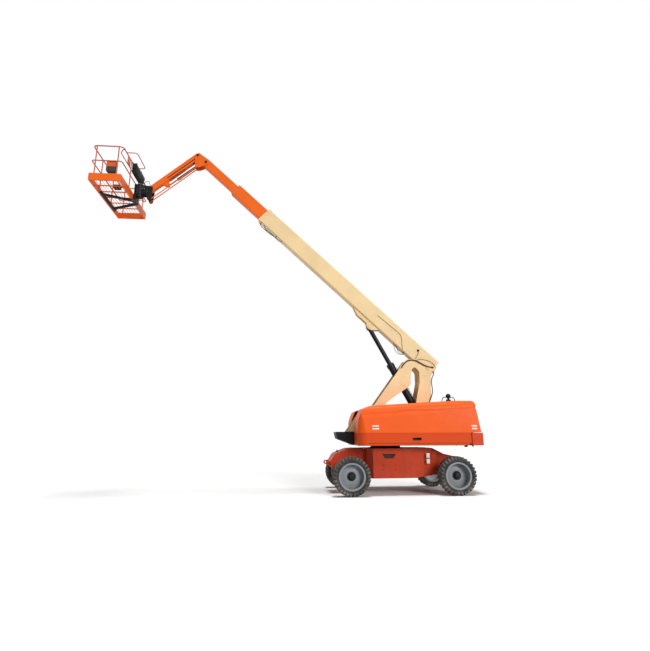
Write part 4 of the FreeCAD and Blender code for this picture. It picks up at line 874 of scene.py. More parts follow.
HOSE_RUNS: tuple[HoseRun, ...] = (
    HoseRun("boom_hose_line", "turntable", 0.032, (
        (-480, 278.3, 3285), (-560, 278.3, 3420), (-720, 278.3, 3515), (-900, 278.3, 3500),
        (-1070, 278.3, 3395), (-1250, 278.3, 3310), (-1400, 278.3, 3300)), Hang.TAUT, "boom_hose"),
    HoseRun("upright_hose_line", "turntable", 0.024, (
        (-1225, 274.3, 2330), (-1270, 274.3, 2440), (-1340, 274.3, 2620), (-1312, 274.3, 2840),
        (-1322, 274.3, 3000), (-1400, 274.3, 3110), (-1385, 274.3, 3190)), Hang.HANGING, "upright_hose"),
    HoseRun("knob_lead", "base_boom", 0.011, (
        (-1022, 152, 3792), (-1030, 154, 3745), (-985, 152, 3668), (-950, 150, 3610), (-930, 144, 3575))),
    HoseRun("root_lead", "turntable", 0.011, (
        (-885, 251, 3470), (-905, 262, 3510), (-1000, 262, 3526), (-1100, 262, 3524), (-1250, 262, 3500),
        (-1360, 262, 3440), (-1430, 262, 3370), (-1462, 251, 3310))),
    HoseRun("side_lead", "base_boom", 0.011, (
        (132, 139, 4838), (105, 147, 4812), (-200, 147, 4550), (-420, 147, 4362), (-540, 147, 4255),
        (-555, 147, 4080), (-556, 147, 3930), (-570, 147, 3850), (-590, 120, 3792))),
    HoseRun("front_loop", "base_boom", 0.014, (
        (-330, 95, 4040), (-320, 104, 3960), (-345, 110, 3835), (-415, 114, 3720), (-500, 112, 3690),
        (-570, 104, 3715), (-620, 95, 3770))),
    HoseRun("middle_loop", "base_boom", 0.014, (
        (-365, 70, 4010), (-385, 78, 3930), (-430, 84, 3850), (-500, 86, 3790), (-560, 84, 3760),
        (-610, 74, 3775), (-650, 66, 3770))),
    HoseRun("rear_loop", "base_boom", 0.014, (
        (-420, 30, 3960), (-430, 34, 3860), (-480, 38, 3760), (-560, 38, 3700), (-620, 34, 3710),
        (-650, 30, 3765))),
    HoseRun("valve_loop_upper", "platform_support", 0.014, (
        (7060, 128, 8668), (7058, 132, 8760), (7015, 140, 8850), (6930, 138, 8860), (6890, 110, 8790),
        (6905, 70, 8720), (6960, 40, 8700))),
    HoseRun("valve_loop_outer", "platform_support", 0.014, (
        (7040, 130, 8640), (7060, 200, 8640), (7040, 235, 8560), (6960, 225, 8480), (6900, 180, 8470),
        (6930, 130, 8530), (7000, 110, 8590))),
    HoseRun("valve_loop_lower", "platform_support", 0.014, (
        (7075, 128, 8585), (7080, 156, 8540), (7030, 166, 8500), (6960, 150, 8490), (6920, 110, 8505),
        (6950, 80, 8530), (7000, 60, 8550))),
    HoseRun("mouth_hose", "base_boom", 0.018, (
        (3456, 60, 7588), (3473, 62, 7555), (3441, 64, 7472), (3326, 66, 7376), (3215, 66, 7289),
        (3123, 64, 7183), (3018, 62, 7090), (2946, 60, 7064), (2916, 60, 7082))),
)


# ---- wheels -------------------------------------------------------------------------------------
@dataclass
class Wheel:
    """One wheel: carcass, lugs, hub cover, nuts and valve."""

    row: str
    hand: str
    side: float
    radius: float = 0.4665
    half_width: float = 0.1765
    carcass_half: float = 0.1655
    lug_count: int = 30
    lug_width: float = 0.060
    lug_slant: float = 0.34
    cover_radius: float = 0.110
    nut_circle: float = 0.092
    nut_count: int = 10

    def build(self) -> None:
        """Makes the wheel's pieces and lets them turn with it."""
        body = f"wheel_{self.row}_{self.hand}"
        label = f"{self.row}_{self.hand}"
        centre = middle_of(f"tyre_{label}")
        out = leftward(self.side)
        fit(self.carcass(label, centre), body, SIDEWALL_RUBBER, f"tyre_{label}")
        fit(self.lugs(label, centre), body, TYRE_RUBBER)
        cover = [(-0.004, 0.0), (-0.004, self.cover_radius - 0.003), (0.004, self.cover_radius),
                 (0.010, 0.106), (0.010, 0.076), (0.030, 0.071), (0.034, 0.066), (0.060, 0.066),
                 (0.074, 0.058), (0.080, 0.030), (0.076, 0.026), (0.076, 0.0)]
        fit(turned_profile(f"hub_cover_{label}", cover, centre, out, 40), body, BLACK_PAINT)
        places = ring(centre + out * 0.010, out, self.nut_circle, self.nut_count)
        fit(bolts(f"wheel_nuts_{label}", places, out, 0.026, 0.014), body, BLACK_PAINT)
        stem = [centre + out * a + UP * b for a, b in ((0.0, -0.262), (0.03, -0.255), (0.055, -0.240))]
        fit(tube(f"valve_{label}", stem, 0.006), body, ZINC_STEEL)

    def carcass(self, label: str, centre: Vector) -> bpy.types.Object:
        """The tyre under its lugs: beads, side walls with a raised rim band, and crown."""
        half = self.carcass_half
        right = [(0.0, 0.4415), (0.105, 0.4405), (0.140, 0.434), (half - 0.002, 0.412), (half, 0.384),
                 (half, 0.372), (half - 0.005, 0.368), (half - 0.005, 0.360), (half - 0.002, 0.356),
                 (0.158, 0.340), (0.151, 0.330), (0.150, 0.2985)]
        left = [(-along, r) for along, r in reversed(right)]
        return turned_profile(f"tyre_carcass_{label}", right + left[:-1] + right[:1], centre, LEFT, 72)

    def lugs(self, label: str, centre: Vector) -> bpy.types.Object:
        """Slanted lugs wrapped over both shoulders, the two rows set half a pitch apart."""
        outline = [(0.012, 0.436), (0.012, self.radius), (0.128, self.radius - 0.0015), (0.160, 0.456),
                   (self.half_width, 0.430), (self.half_width, 0.396), (0.171, 0.386), (0.158, 0.392),
                   (0.150, 0.418), (0.120, 0.434)]
        w = self.lug_width / 2
        corners = [Vector((-w, a, b)) for a, b in outline]
        lug = plate(f"lugs_{label}", corners, Vector((self.lug_width, 0, 0)), 0.004)
        pitch = 2 * math.pi / self.lug_count

        def wrap(side: float, turn: float) -> Callable[[Vector], Vector]:
            """Rule that bends the lug round the crown at an angle, on one side."""
            def rule(point: Vector) -> Vector:
                angle = turn + (point.x + self.lug_slant * point.y) / self.radius
                return centre + Vector((math.sin(angle) * point.z, side * point.y, math.cos(angle) * point.z))
            return rule

        rules = [wrap(1.0, i * pitch) for i in range(self.lug_count)]
        rules += [wrap(-1.0, (i + 0.5) * pitch) for i in range(self.lug_count)]
        return spread(lug, rules)


# ---- chassis ------------------------------------------------------------------------------------
@dataclass
class ChassisDress:
    """Fittings of the chassis: dark pocket backs and a dark pad on each rear slope, both painted shade, then
    plates, corner boxes and bolts.
    """

    pocket_depth: float = 43.0
    pad_rise: float = 5.0
    pad_sink: float = 2.0
    pad_span: Span = (40.0, 425.0)
    half_width: float = 800.0
    line_rise: float = 75.0

    def build(self) -> None:
        """Makes every fitting of the chassis."""
        pad_low, pad_high = (-1440.0, 981.0), (-1160.0, 1117.0)
        for hand, side in HANDS:
            y = side * (self.half_width - self.pocket_depth)
            # Dark sheet at the back of each side pocket: painted shade of the recess.
            corners = wall(y, ((-98, 981), (249, 981), (178, 877), (-19, 877)))
            back = plate(f"pocket_back_{hand}", corners, lay_way(0, side * 3, 0), 0.001)
            fit(back, "chassis", POCKET_SHADE)
            y = side * (self.half_width + 0.3)
            tops = []
            for number, (x, z) in enumerate(((-940, 940), (-940, 800))):
                tops.append(side_block(f"blank_plate_{hand}_{number}", (x - 42, x + 42), (y, y + side * 2),
                                       (z - 56, z + 56), 0.0008))
            fit(joined(f"blank_plates_{hand}", tops), "chassis", PALE_PLATE)
            # Black pad on the rear slope of the chassis: painted shade.
            inner, outer = (side * y for y in self.pad_span)
            strip = [lay(x, y, z - self.pad_sink) for (x, z), y in
                     ((pad_low, inner), (pad_high, inner), (pad_high, outer), (pad_low, outer))]
            pad = plate(f"tread_pad_{hand}", strip, lay_way(-3, 0, self.pad_rise + self.pad_sink), 0.002)
            fit(pad, "chassis", SLOPE_SHADE_PAD)
            places = [lay(x, side * (self.half_width - 0.5), z) for x in (-330, 480) for z in (430, 1085)]
            fit(bolts(f"side_bolts_{hand}", places, leftward(side), 0.030, 0.010), "chassis",
                RED_ORANGE_PAINT)
            outline = ((-1070, 690), (-1205, 650), (-1205, 425), (-1070, 425))
            corner = plate(f"corner_box_{hand}", [lay(x, side * y, 458) for x, y in outline],
                           lay_way(0, 0, 600), 0.008)
            fit(corner, "chassis", RED_ORANGE_PAINT)
        self.front()
        self.axles()

    def front(self) -> None:
        """Cover, handle and bolts on the chassis's front slope, and the slewing ring's bolts."""
        cover = block("front_cover", lay(640, -260, 1117), lay(960, 260, 1126), 0.004)
        fit(cover, "chassis", RED_ORANGE_PAINT)
        places = [lay(x, y, 1125) for x in (665, 935) for y in (-235, 0, 235)]
        fit(bolts("front_cover_bolts", places, UP, 0.020, 0.009), "chassis", ZINC_STEEL)
        places = ring(lay(0, 0, 1119.5), UP, 0.455, 36)
        fit(bolts("slew_bolts", places, UP, 0.024, 0.014), "chassis", BLACK_PAINT)
        points = [lay(1330, y, z) for y, z in ((-90, 1010), (-90, 1075), (90, 1075), (90, 1010))]
        fit(tube("front_handle", points, 0.009), "chassis", BLACK_PAINT)

    def axles(self) -> None:
        """Brake lines along both axles, and the rear axle's cover with its bolts."""
        rear_x, front_x = FRONT_AXLE[0] - WHEELBASE, FRONT_AXLE[0]
        for name, x in (("rear", rear_x), ("front", front_x)):
            z = FRONT_AXLE[2] + self.line_rise
            line = [lay(x + 60, y, z + (10 if abs(y) < 500 else 2))
                    for y in (-600, -420, -200, 0, 200, 420, 600)]
            fit(tube(f"brake_line_{name}", line, 0.006), "chassis", BLACK_PAINT)
        cover = turned_profile("axle_cover", [(0.0, 0.0), (0.0, 0.118), (0.018, 0.116), (0.026, 0.098),
                                              (0.034, 0.060), (0.034, 0.0)],
                               lay(rear_x + 88, 60, FRONT_AXLE[2]), AHEAD, 36)
        fit(cover, "chassis", RED_ORANGE_PAINT)
        places = ring(lay(rear_x + 106, 60, FRONT_AXLE[2]), AHEAD, 0.107, 10)
        fit(bolts("axle_cover_bolts", places, AHEAD, 0.016, 0.010), "chassis", ZINC_STEEL)


# ---- turntable and hoods ------------------------------------------------------------------------
@dataclass
class TurntableDress:
    """Fittings of the turntable, the upright and the engine."""

    plate_y: float = 250.0
    cap_y: float = 262.0
    flare_sink: float = 25.5

    def build(self) -> None:
        """Makes every fitting of the turntable."""
        for hand, side in HANDS:
            out = leftward(side)
            for name, (x, z), radius in (("boom_pivot", (-1260, 3290), 0.058),
                                         ("lift_foot", LIFT_FOOT, 0.050)):
                fit(pin_cap(f"{name}_cap_{hand}", lay(x, side * self.cap_y, z), out, radius), "turntable",
                    CREAM_PAINT)
            for name, (x, z) in (("leg", (-574, 2799)), ("head", (-1147, 3075))):
                boss = turned_profile(f"{name}_boss_{hand}", [(-0.002, 0.0), (-0.002, 0.030), (0.006, 0.028),
                                                               (0.008, 0.014), (0.013, 0.012), (0.013, 0.0)],
                                      lay(x, side * self.plate_y, z), out, 28)
                fit(boss, "turntable", CREAM_PAINT)
            places = wall(side * (self.plate_y - 0.5),
                          ((700, 1500), (820, 1380), (530, 1760), (410, 1880), (-1215, 1300), (-760, 1300)))
            fit(bolts(f"upright_bolts_{hand}", places, out, 0.030, 0.012), "turntable", CREAM_PAINT)
            sheet = ((318, 2256), (470, 2235), (615, 2165), (1086, 1549), (700, 1549), (250, 2200))
            flare = plate(f"leg_flare_{hand}", wall(side * (self.plate_y - self.flare_sink), sheet),
                          lay_way(0, side * (self.flare_sink + 1.0), 0), 0.003)
            fit(flare, "turntable", CREAM_PAINT)
            weld = wall(side * (self.plate_y - 1), ((470, 1262), (560, 1240), (700, 1236), (845, 1262)))
            fit(tube(f"foot_weld_{hand}", weld, 0.007), "turntable", CREAM_PAINT)
        self.tail()
        self.nose()
        self.engine()

    def tail(self) -> None:
        """Plugs, hood stops, bolts and grille of the counterweight."""
        for hand, side in HANDS:
            eye = turned_profile(f"weight_plug_{hand}", [(-0.003, 0.0), (-0.003, 0.050), (0.004, 0.048),
                                                          (0.004, 0.034), (0.001, 0.030), (0.001, 0.0)],
                                 lay(-2170, side * 760, 1504.5), UP, 32)
            fit(eye, "turntable", BLACK_PAINT)
            foot = side_block(f"hood_stop_{hand}", (-1905, -1825), (side * 1040, side * 1062), (1150, 1192),
                              0.006)
            fit(foot, "turntable", BLACK_PLASTIC)
        places = [lay(-2150, y, 1189.0) for y in (-800, -400, 400, 800)]
        fit(bolts("weight_bolts", places, Vector((0, 0, -1)), 0.046, 0.026), "turntable", BLACK_PAINT)
        slot = block("tail_grille_frame", lay(-2392, -190, 1640), lay(-2384, 190, 1800), 0.003)
        slats = [block(f"slat_{i}", lay(-2395, -165, 1658 + i * 22), lay(-2388, 165, 1668 + i * 22), 0.002)
                 for i in range(6)]
        fit(joined("tail_grille", [slot] + slats), "turntable", BLACK_PLASTIC)

    def nose(self) -> None:
        """Ribs and bolts of the black cover round the upright's foot."""
        for hand, side in HANDS:
            y = side * 300.0
            rib = plate(f"nose_rib_{hand}",
                        wall(y, ((1000, 1300), (1290, 1395), (1310, 1440), (1290, 1460), (1000, 1370))),
                        lay_way(0, side * 4, 0), 0.0015)
            fit(rib, "turntable", BLACK_PLASTIC, slot="paint_black")
            places = wall(y, ((900, 1250), (900, 1500), (1200, 1500), (1340, 1500)))
            fit(bolts(f"nose_bolts_{hand}", places, leftward(side), 0.018, 0.007), "turntable", BLACK_PAINT)

    def engine(self) -> None:
        """Rocker cover, air filter, fan shroud, intake duct and silencer of the engine."""
        ribs = [block(f"rib_{i}", lay(-1660 + i * 90, -600, 1878), lay(-1630 + i * 90, -470, 1925), 0.006)
                for i in range(9)]
        cover = block("rocker", lay(-1700, -615, 1876), lay(-880, -455, 1905), 0.010)
        fit(joined("rocker_cover", [cover] + ribs), "turntable", BLACK_PAINT, slot="engine_iron")
        can = turned_profile("air_filter",
                             [(0.0, 0.0), (0.0, 0.095), (0.02, 0.110), (0.16, 0.110), (0.165, 0.114),
                              (0.18, 0.114), (0.185, 0.110), (0.34, 0.108), (0.36, 0.090), (0.36, 0.0)],
                             lay(-900, -820, 1500), Vector((-1, 0, 0)), 36)
        fit(can, "turntable", BLACK_PLASTIC)
        shroud = turned_profile("fan_shroud",
                                [(0.0, 0.10), (0.0, 0.235), (0.05, 0.235), (0.05, 0.20), (0.03, 0.19),
                                 (0.03, 0.10), (0.0, 0.10)], lay(-648, -535, 1560), AHEAD, 40)
        fit(shroud, "turntable", BLACK_PLASTIC)
        duct = [lay(-900, -710, 1520), lay(-860, -660, 1560), lay(-870, -600, 1640), lay(-960, -560, 1760),
                lay(-980, -540, 1860)]
        fit(tube("intake_duct", duct, 0.035), "turntable", BLACK_PLASTIC)
        silencer = turned_profile("silencer",
                                  [(0.0, 0.0), (0.0, 0.08), (0.012, 0.092), (0.50, 0.092), (0.512, 0.08),
                                   (0.512, 0.0)], lay(-1050, -780, 1360), Vector((-1, 0, 0)), 32)
        fit(silencer, "turntable", ENGINE_IRON)
        stand = [block(f"stand_{i}", lay(x - 15, -800, 1229), lay(x + 15, -760, 1300), 0.003)
                 for i, x in enumerate((-1150, -1450))]
        fit(joined("silencer_stand", stand), "turntable", ENGINE_IRON)
        stand = block("filter_stand", lay(-1200, -860, 1229), lay(-1040, -780, 1400), 0.004)
        fit(stand, "turntable", BLACK_PAINT)


@dataclass
class HoodDress:
    """Fittings of one hood: handle, latch, seal, blank plates and, on the right, louvres."""

    hand: str
    side: float
    outer: float = 1100.0
    step: float = 8.0
    lean_from: float = 1520.0
    lean_in: float = 65.0
    lean_over: float = 900.0

    def at(self, x: float, z: float, out: float = 0.0) -> Vector:
        """A point on the hood's side above the belt, which leans in towards the roof."""
        lean = self.lean_in * max(z - self.lean_from, 0.0) / self.lean_over
        inset = self.step if z < HOOD_BELT else 0.0
        return lay(x, self.side * (self.outer - lean - inset + out), z)

    def build(self) -> None:
        """Makes every fitting of the hood."""
        body, hand, side = f"hood_{self.hand}", self.hand, self.side
        face = side * (self.outer - self.step)
        paddle = side_block(f"handle_paddle_{hand}", (-684, -508), (face, face - side * 14), (1337, 1362),
                            0.004)
        fit(paddle, body, BLACK_PLASTIC)
        rim = side_block(f"handle_rim_{hand}", (-705, -486), (face, face + side * 2), (1323, 1385))
        fit(frame_of(rim, 0.010), body, BLACK_PLASTIC)
        seal = [lay(x, face + side * 1.0, 1252) for x in (-2010, -1500, -1000, -500, 0, 400, 640)]
        fit(tube(f"hood_seal_{hand}", seal, 0.004), body, SEAL_RUBBER)
        plates = []
        for x, z, half in ((455, 1668, 85), (455, 1600, 85), (-2110, 1668, 70), (-2110, 1600, 70)):
            a, b = self.at(x - half, z - 26, -2.0), self.at(x + half, z + 26, 2.5)
            plates.append(block(f"mark_{x}_{z}", (a.x, min(a.y, b.y), a.z), (b.x, max(a.y, b.y), b.z),
                                0.0008))
        fit(joined(f"hood_plates_{hand}", plates), body, PALE_PLATE)
        latch = side_block(f"latch_{hand}", (-1890, -1850), (face, face - side * 30), (1196, 1206), 0.003)
        fit(latch, body, ZINC_STEEL)
        if self.hand == "right":
            self.louvres(body)

    def louvres(self, body: str) -> None:
        """Cooling louvres let into the side beside the engine."""
        corners = [self.at(-1650, 1640, 1.0), self.at(-1050, 1640, 1.0), self.at(-1050, 1900, 1.0),
                   self.at(-1650, 1900, 1.0)]
        panel = plate("louvre_panel", corners, lay_way(0, self.side * 3, 0), 0.001)
        fit(panel, body, BLACK_PLASTIC)
        slats = []
        for i in range(8):
            z = 1658 + i * 30
            corners = [self.at(-1620, z, 2.0), self.at(-1620, z + 22, 2.0), self.at(-1620, z + 2, 12.0)]
            slats.append(plate(f"louvre_{i}", corners, lay_way(540, 0, 0), 0.001))
        fit(joined("hood_louvres", slats), body, ORANGE_PAINT)


# ---- boom and cylinders -------------------------------------------------------------------------
@dataclass
class BoomDress:
    """Fittings of boom and lift cylinder. Each section: body, reach, half width and half depth."""

    rise: float = 0.141
    sections: tuple[tuple[str, float, float, float], ...] = (
        ("base_boom", 6.620, 0.150, 0.2445),
        ("mid_boom", 7.832, 0.1125, 0.1815),
    )
    screw_rows: Span = (0.030, 0.068)
    screw_sink: float = 0.0005

    def build(self) -> None:
        """Makes every fitting of the boom."""
        for hand, side in HANDS:
            out = leftward(side)
            for body, reach, width, _ in self.sections:
                places = [on_boom(reach - back, side * (width - self.screw_sink), self.rise + up)
                          for back in self.screw_rows for up in (-0.12, 0.0, 0.12)]
                fit(bolts(f"{body}_pad_screws_{hand}", places, out, 0.018, 0.007), body, ZINC_STEEL)
            cap = pin_cap(f"lift_eye_cap_{hand}", on_boom(LIFT_EYE[0], side * 0.1045, LIFT_EYE[1]), out,
                          0.040)
            fit(cap, "base_boom", CREAM_PAINT)
        for body, reach, _, depth in self.sections:
            for name, way in (("top", 1.0), ("low", -1.0)):
                places = [on_boom(reach - back, y, self.rise + way * (depth - self.screw_sink))
                          for back in self.screw_rows for y in (-0.06, 0.06)]
                fit(bolts(f"{body}_{name}_screws", places, BOOM_UP * way, 0.018, 0.007), body, ZINC_STEEL)
        self.root()
        self.cylinder()

    def root(self) -> None:
        """Tail cover and knob at the boom's root."""
        tail = plate("boom_tail_cover", [on_boom(-0.139, y, self.rise + z) for y, z in
                                         ((-0.11, -0.20), (0.11, -0.20), (0.11, 0.20), (-0.11, 0.20))],
                     -BOOM_WAY * 0.004, 0.0015)
        fit(tail, "base_boom", BLACK_PLASTIC)
        knob = turned_profile("boom_knob", [(-0.002, 0.0), (-0.002, 0.034), (0.010, 0.034), (0.014, 0.024),
                                            (0.030, 0.026), (0.036, 0.020), (0.036, 0.0)],
                              lay(-1019, 140, 3805), LEFT, 28)
        fit(knob, "base_boom", BLACK_PLASTIC)

    def cylinder(self) -> None:
        """Hard lines, ports and seals of the lift cylinder."""
        foot, eye = lay(LIFT_FOOT[0], 0, LIFT_FOOT[1]), on_boom(LIFT_EYE[0], 0.0, LIFT_EYE[1])
        way = (eye - foot).normalized()
        up = square_to(way)
        steps = ((0.20, -0.010), (0.22, 0.016), (0.40, 0.016), (0.90, 0.016), (1.40, 0.016), (1.66, 0.016),
                 (1.68, -0.010))
        lines = []
        for number, y in enumerate((0.040, -0.040)):
            route = along(foot, way, up, [(a, 0.098 + h) for a, h in steps], y)
            lines.append(tube(f"line_{number}", route, 0.008))
        fit(joined("lift_hard_lines", lines), "lift_barrel", ZINC_STEEL)
        clamps = [block_on(f"clamp_{a}", foot + way * a, way, up, (0.018, 0.066, 0.012), 0.112, 0.002)
                  for a in (0.55, 1.05, 1.50)]
        fit(joined("lift_line_clamps", clamps), "lift_barrel", BLACK_PAINT)
        ports = [block_on(f"port_{a}", foot + way * a, way, up, (0.040, 0.070, 0.020), 0.102, 0.004)
                 for a in (0.20, 1.68)]
        fit(joined("lift_ports", ports), "lift_barrel", BLACK_PAINT)
        wiper = turned_profile("lift_wiper", [(0.0, 0.0635), (0.0, 0.100), (0.010, 0.098), (0.014, 0.078),
                                              (0.022, 0.074), (0.022, 0.0635), (0.0, 0.0635)],
                               foot + way * 1.840, way, 40)
        fit(wiper, "lift_barrel", BLACK_PLASTIC)
        places = ring(foot + way * 1.8395, way, 0.100, 8)
        fit(bolts("lift_gland_bolts", places, way, 0.012, 0.008), "lift_barrel", ZINC_STEEL)


# ---- jib and platform support -------------------------------------------------------------------
@dataclass
class JibDress:
    """Fittings of the nose bracket, the jib, its cylinder and the platform support."""

    groove: Span = (0.132, 1.178)
    cap_face: float = 113.0
    tip_step: Point = (1.3199, 0.0, -1.1801)
    foot_step: Point = (-0.020, 0.0, -0.285)
    eye_radius: float = 0.024

    def build(self) -> None:
        """Makes every fitting of the jib."""
        pivot, tip = joint_place("jib_lift"), self.tip()
        way = (tip - pivot).normalized()
        up = square_to(way)
        for hand, side in HANDS:
            out = leftward(side)
            face = side * 0.0612
            # Black strip along the groove in the jib's side: painted shade of the recess.
            (near, far), low, high = self.groove, -0.0365, -0.0095
            corners = along(pivot, way, up, ((near, low), (far, low), (far, high), (near, high)), face)
            groove_shade = plate(f"jib_inlay_{hand}", corners, leftward(side * 0.002), 0.0005)
            fit(groove_shade, "jib", BLACK_PLASTIC)
            for name, centre, radius in (("nose_pin", NOSE_PIN, 0.040), ("jib_pin", pivot, 0.038)):
                start = centre + leftward(side * self.cap_face / 1000)
                fit(pin_cap(f"{name}_cap_{hand}", start, out, radius), "nose_bracket", BLACK_PAINT)
            start = tip + leftward(side * self.cap_face / 1000)
            fit(pin_cap(f"tip_pin_cap_{hand}", start, out, 0.038), "platform_support", BLACK_PAINT)
        spots = along(pivot, way, up, ((0.372, 0.1067), (0.70, 0.1043), (1.30, 0.1001), (1.60, 0.0980)))
        points = tuple(tuple((spot - Vector((SLEW_X, 0.0, 0.0))) * 1000) for spot in spots)
        HoseRun("jib_hose_line", "jib", 0.028, points, Hang.TAUT, "jib_hose").build()
        for hand, side in HANDS:
            corners = along(pivot, way, up, ((0.56, -0.085), (1.16, -0.083), (1.14, -0.101), (0.58, -0.102)),
                            side * 0.048)
            fit(plate(f"jib_skirt_{hand}", corners, leftward(side * 0.010), 0.002), "jib", BLACK_PLASTIC)
        clips = [block_on(f"clip_{a}", pivot + way * a, way, up, (0.020, 0.060, 0.034),
                          0.098 + (0.62 - a) * 0.007, 0.003) for a in (0.62, 1.00, 1.38)]
        fit(joined("jib_hose_clips", clips), "jib", BLACK_PLASTIC)
        self.cylinder()
        self.support()

    def tip(self) -> Vector:
        """The pin at the jib's outer end."""
        return joint_place("jib_lift") + Vector(self.tip_step)

    def cylinder(self) -> None:
        """Ports of the jib cylinder's barrel."""
        foot = joint_place("jib_lift") + Vector(self.foot_step)
        low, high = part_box("jib_cylinder_rod")
        eye = Vector((high[0] - self.eye_radius, 0.0, low[2] + self.eye_radius))
        way = (eye - foot).normalized()
        up = square_to(way)
        ports = [block_on(f"jib_port_{a}", foot + way * a, way, -up, (0.030, 0.036, 0.022), 0.042, 0.003)
                 for a in (0.09, 0.70)]
        fit(joined("jib_cylinder_ports", ports), "jib_barrel", BLACK_PAINT)

    def support(self) -> None:
        """Rings and bolts of the rotator, and the valve blocks with their fittings."""
        x, z = ROTATOR_AT[0], ROTATOR_AT[2]
        rings = turned_profile("rotator_rings",
                               [(-0.200, 0.112), (-0.200, 0.122), (-0.186, 0.122), (-0.180, 0.116),
                                (0.070, 0.116), (0.076, 0.122), (0.090, 0.122), (0.090, 0.112),
                                (-0.200, 0.112)], lay(x, 0, z), UP, 44)
        fit(rings, "platform_support", BLACK_PAINT)
        places = ring(lay(x, 0, z + 139.5), UP, 0.075, 8)
        fit(bolts("rotator_bolts", places, UP, 0.022, 0.012), "platform", ZINC_STEEL)
        for hand, side in HANDS:
            y = side * 106.0
            valve = side_block(f"valve_block_{hand}", (x - 185, x - 82), (y, y + side * 42), (z - 90, z + 10),
                               0.005)
            fit(valve, "platform_support", BLACK_PAINT)
            places = [lay(x - 166 + 32 * i, side * 148.0, z - 62 + 44 * (i % 2)) for i in range(3)]
            fit(bolts(f"valve_fittings_{hand}", places, leftward(side), 0.024, 0.020), "platform_support",
                ZINC_STEEL)


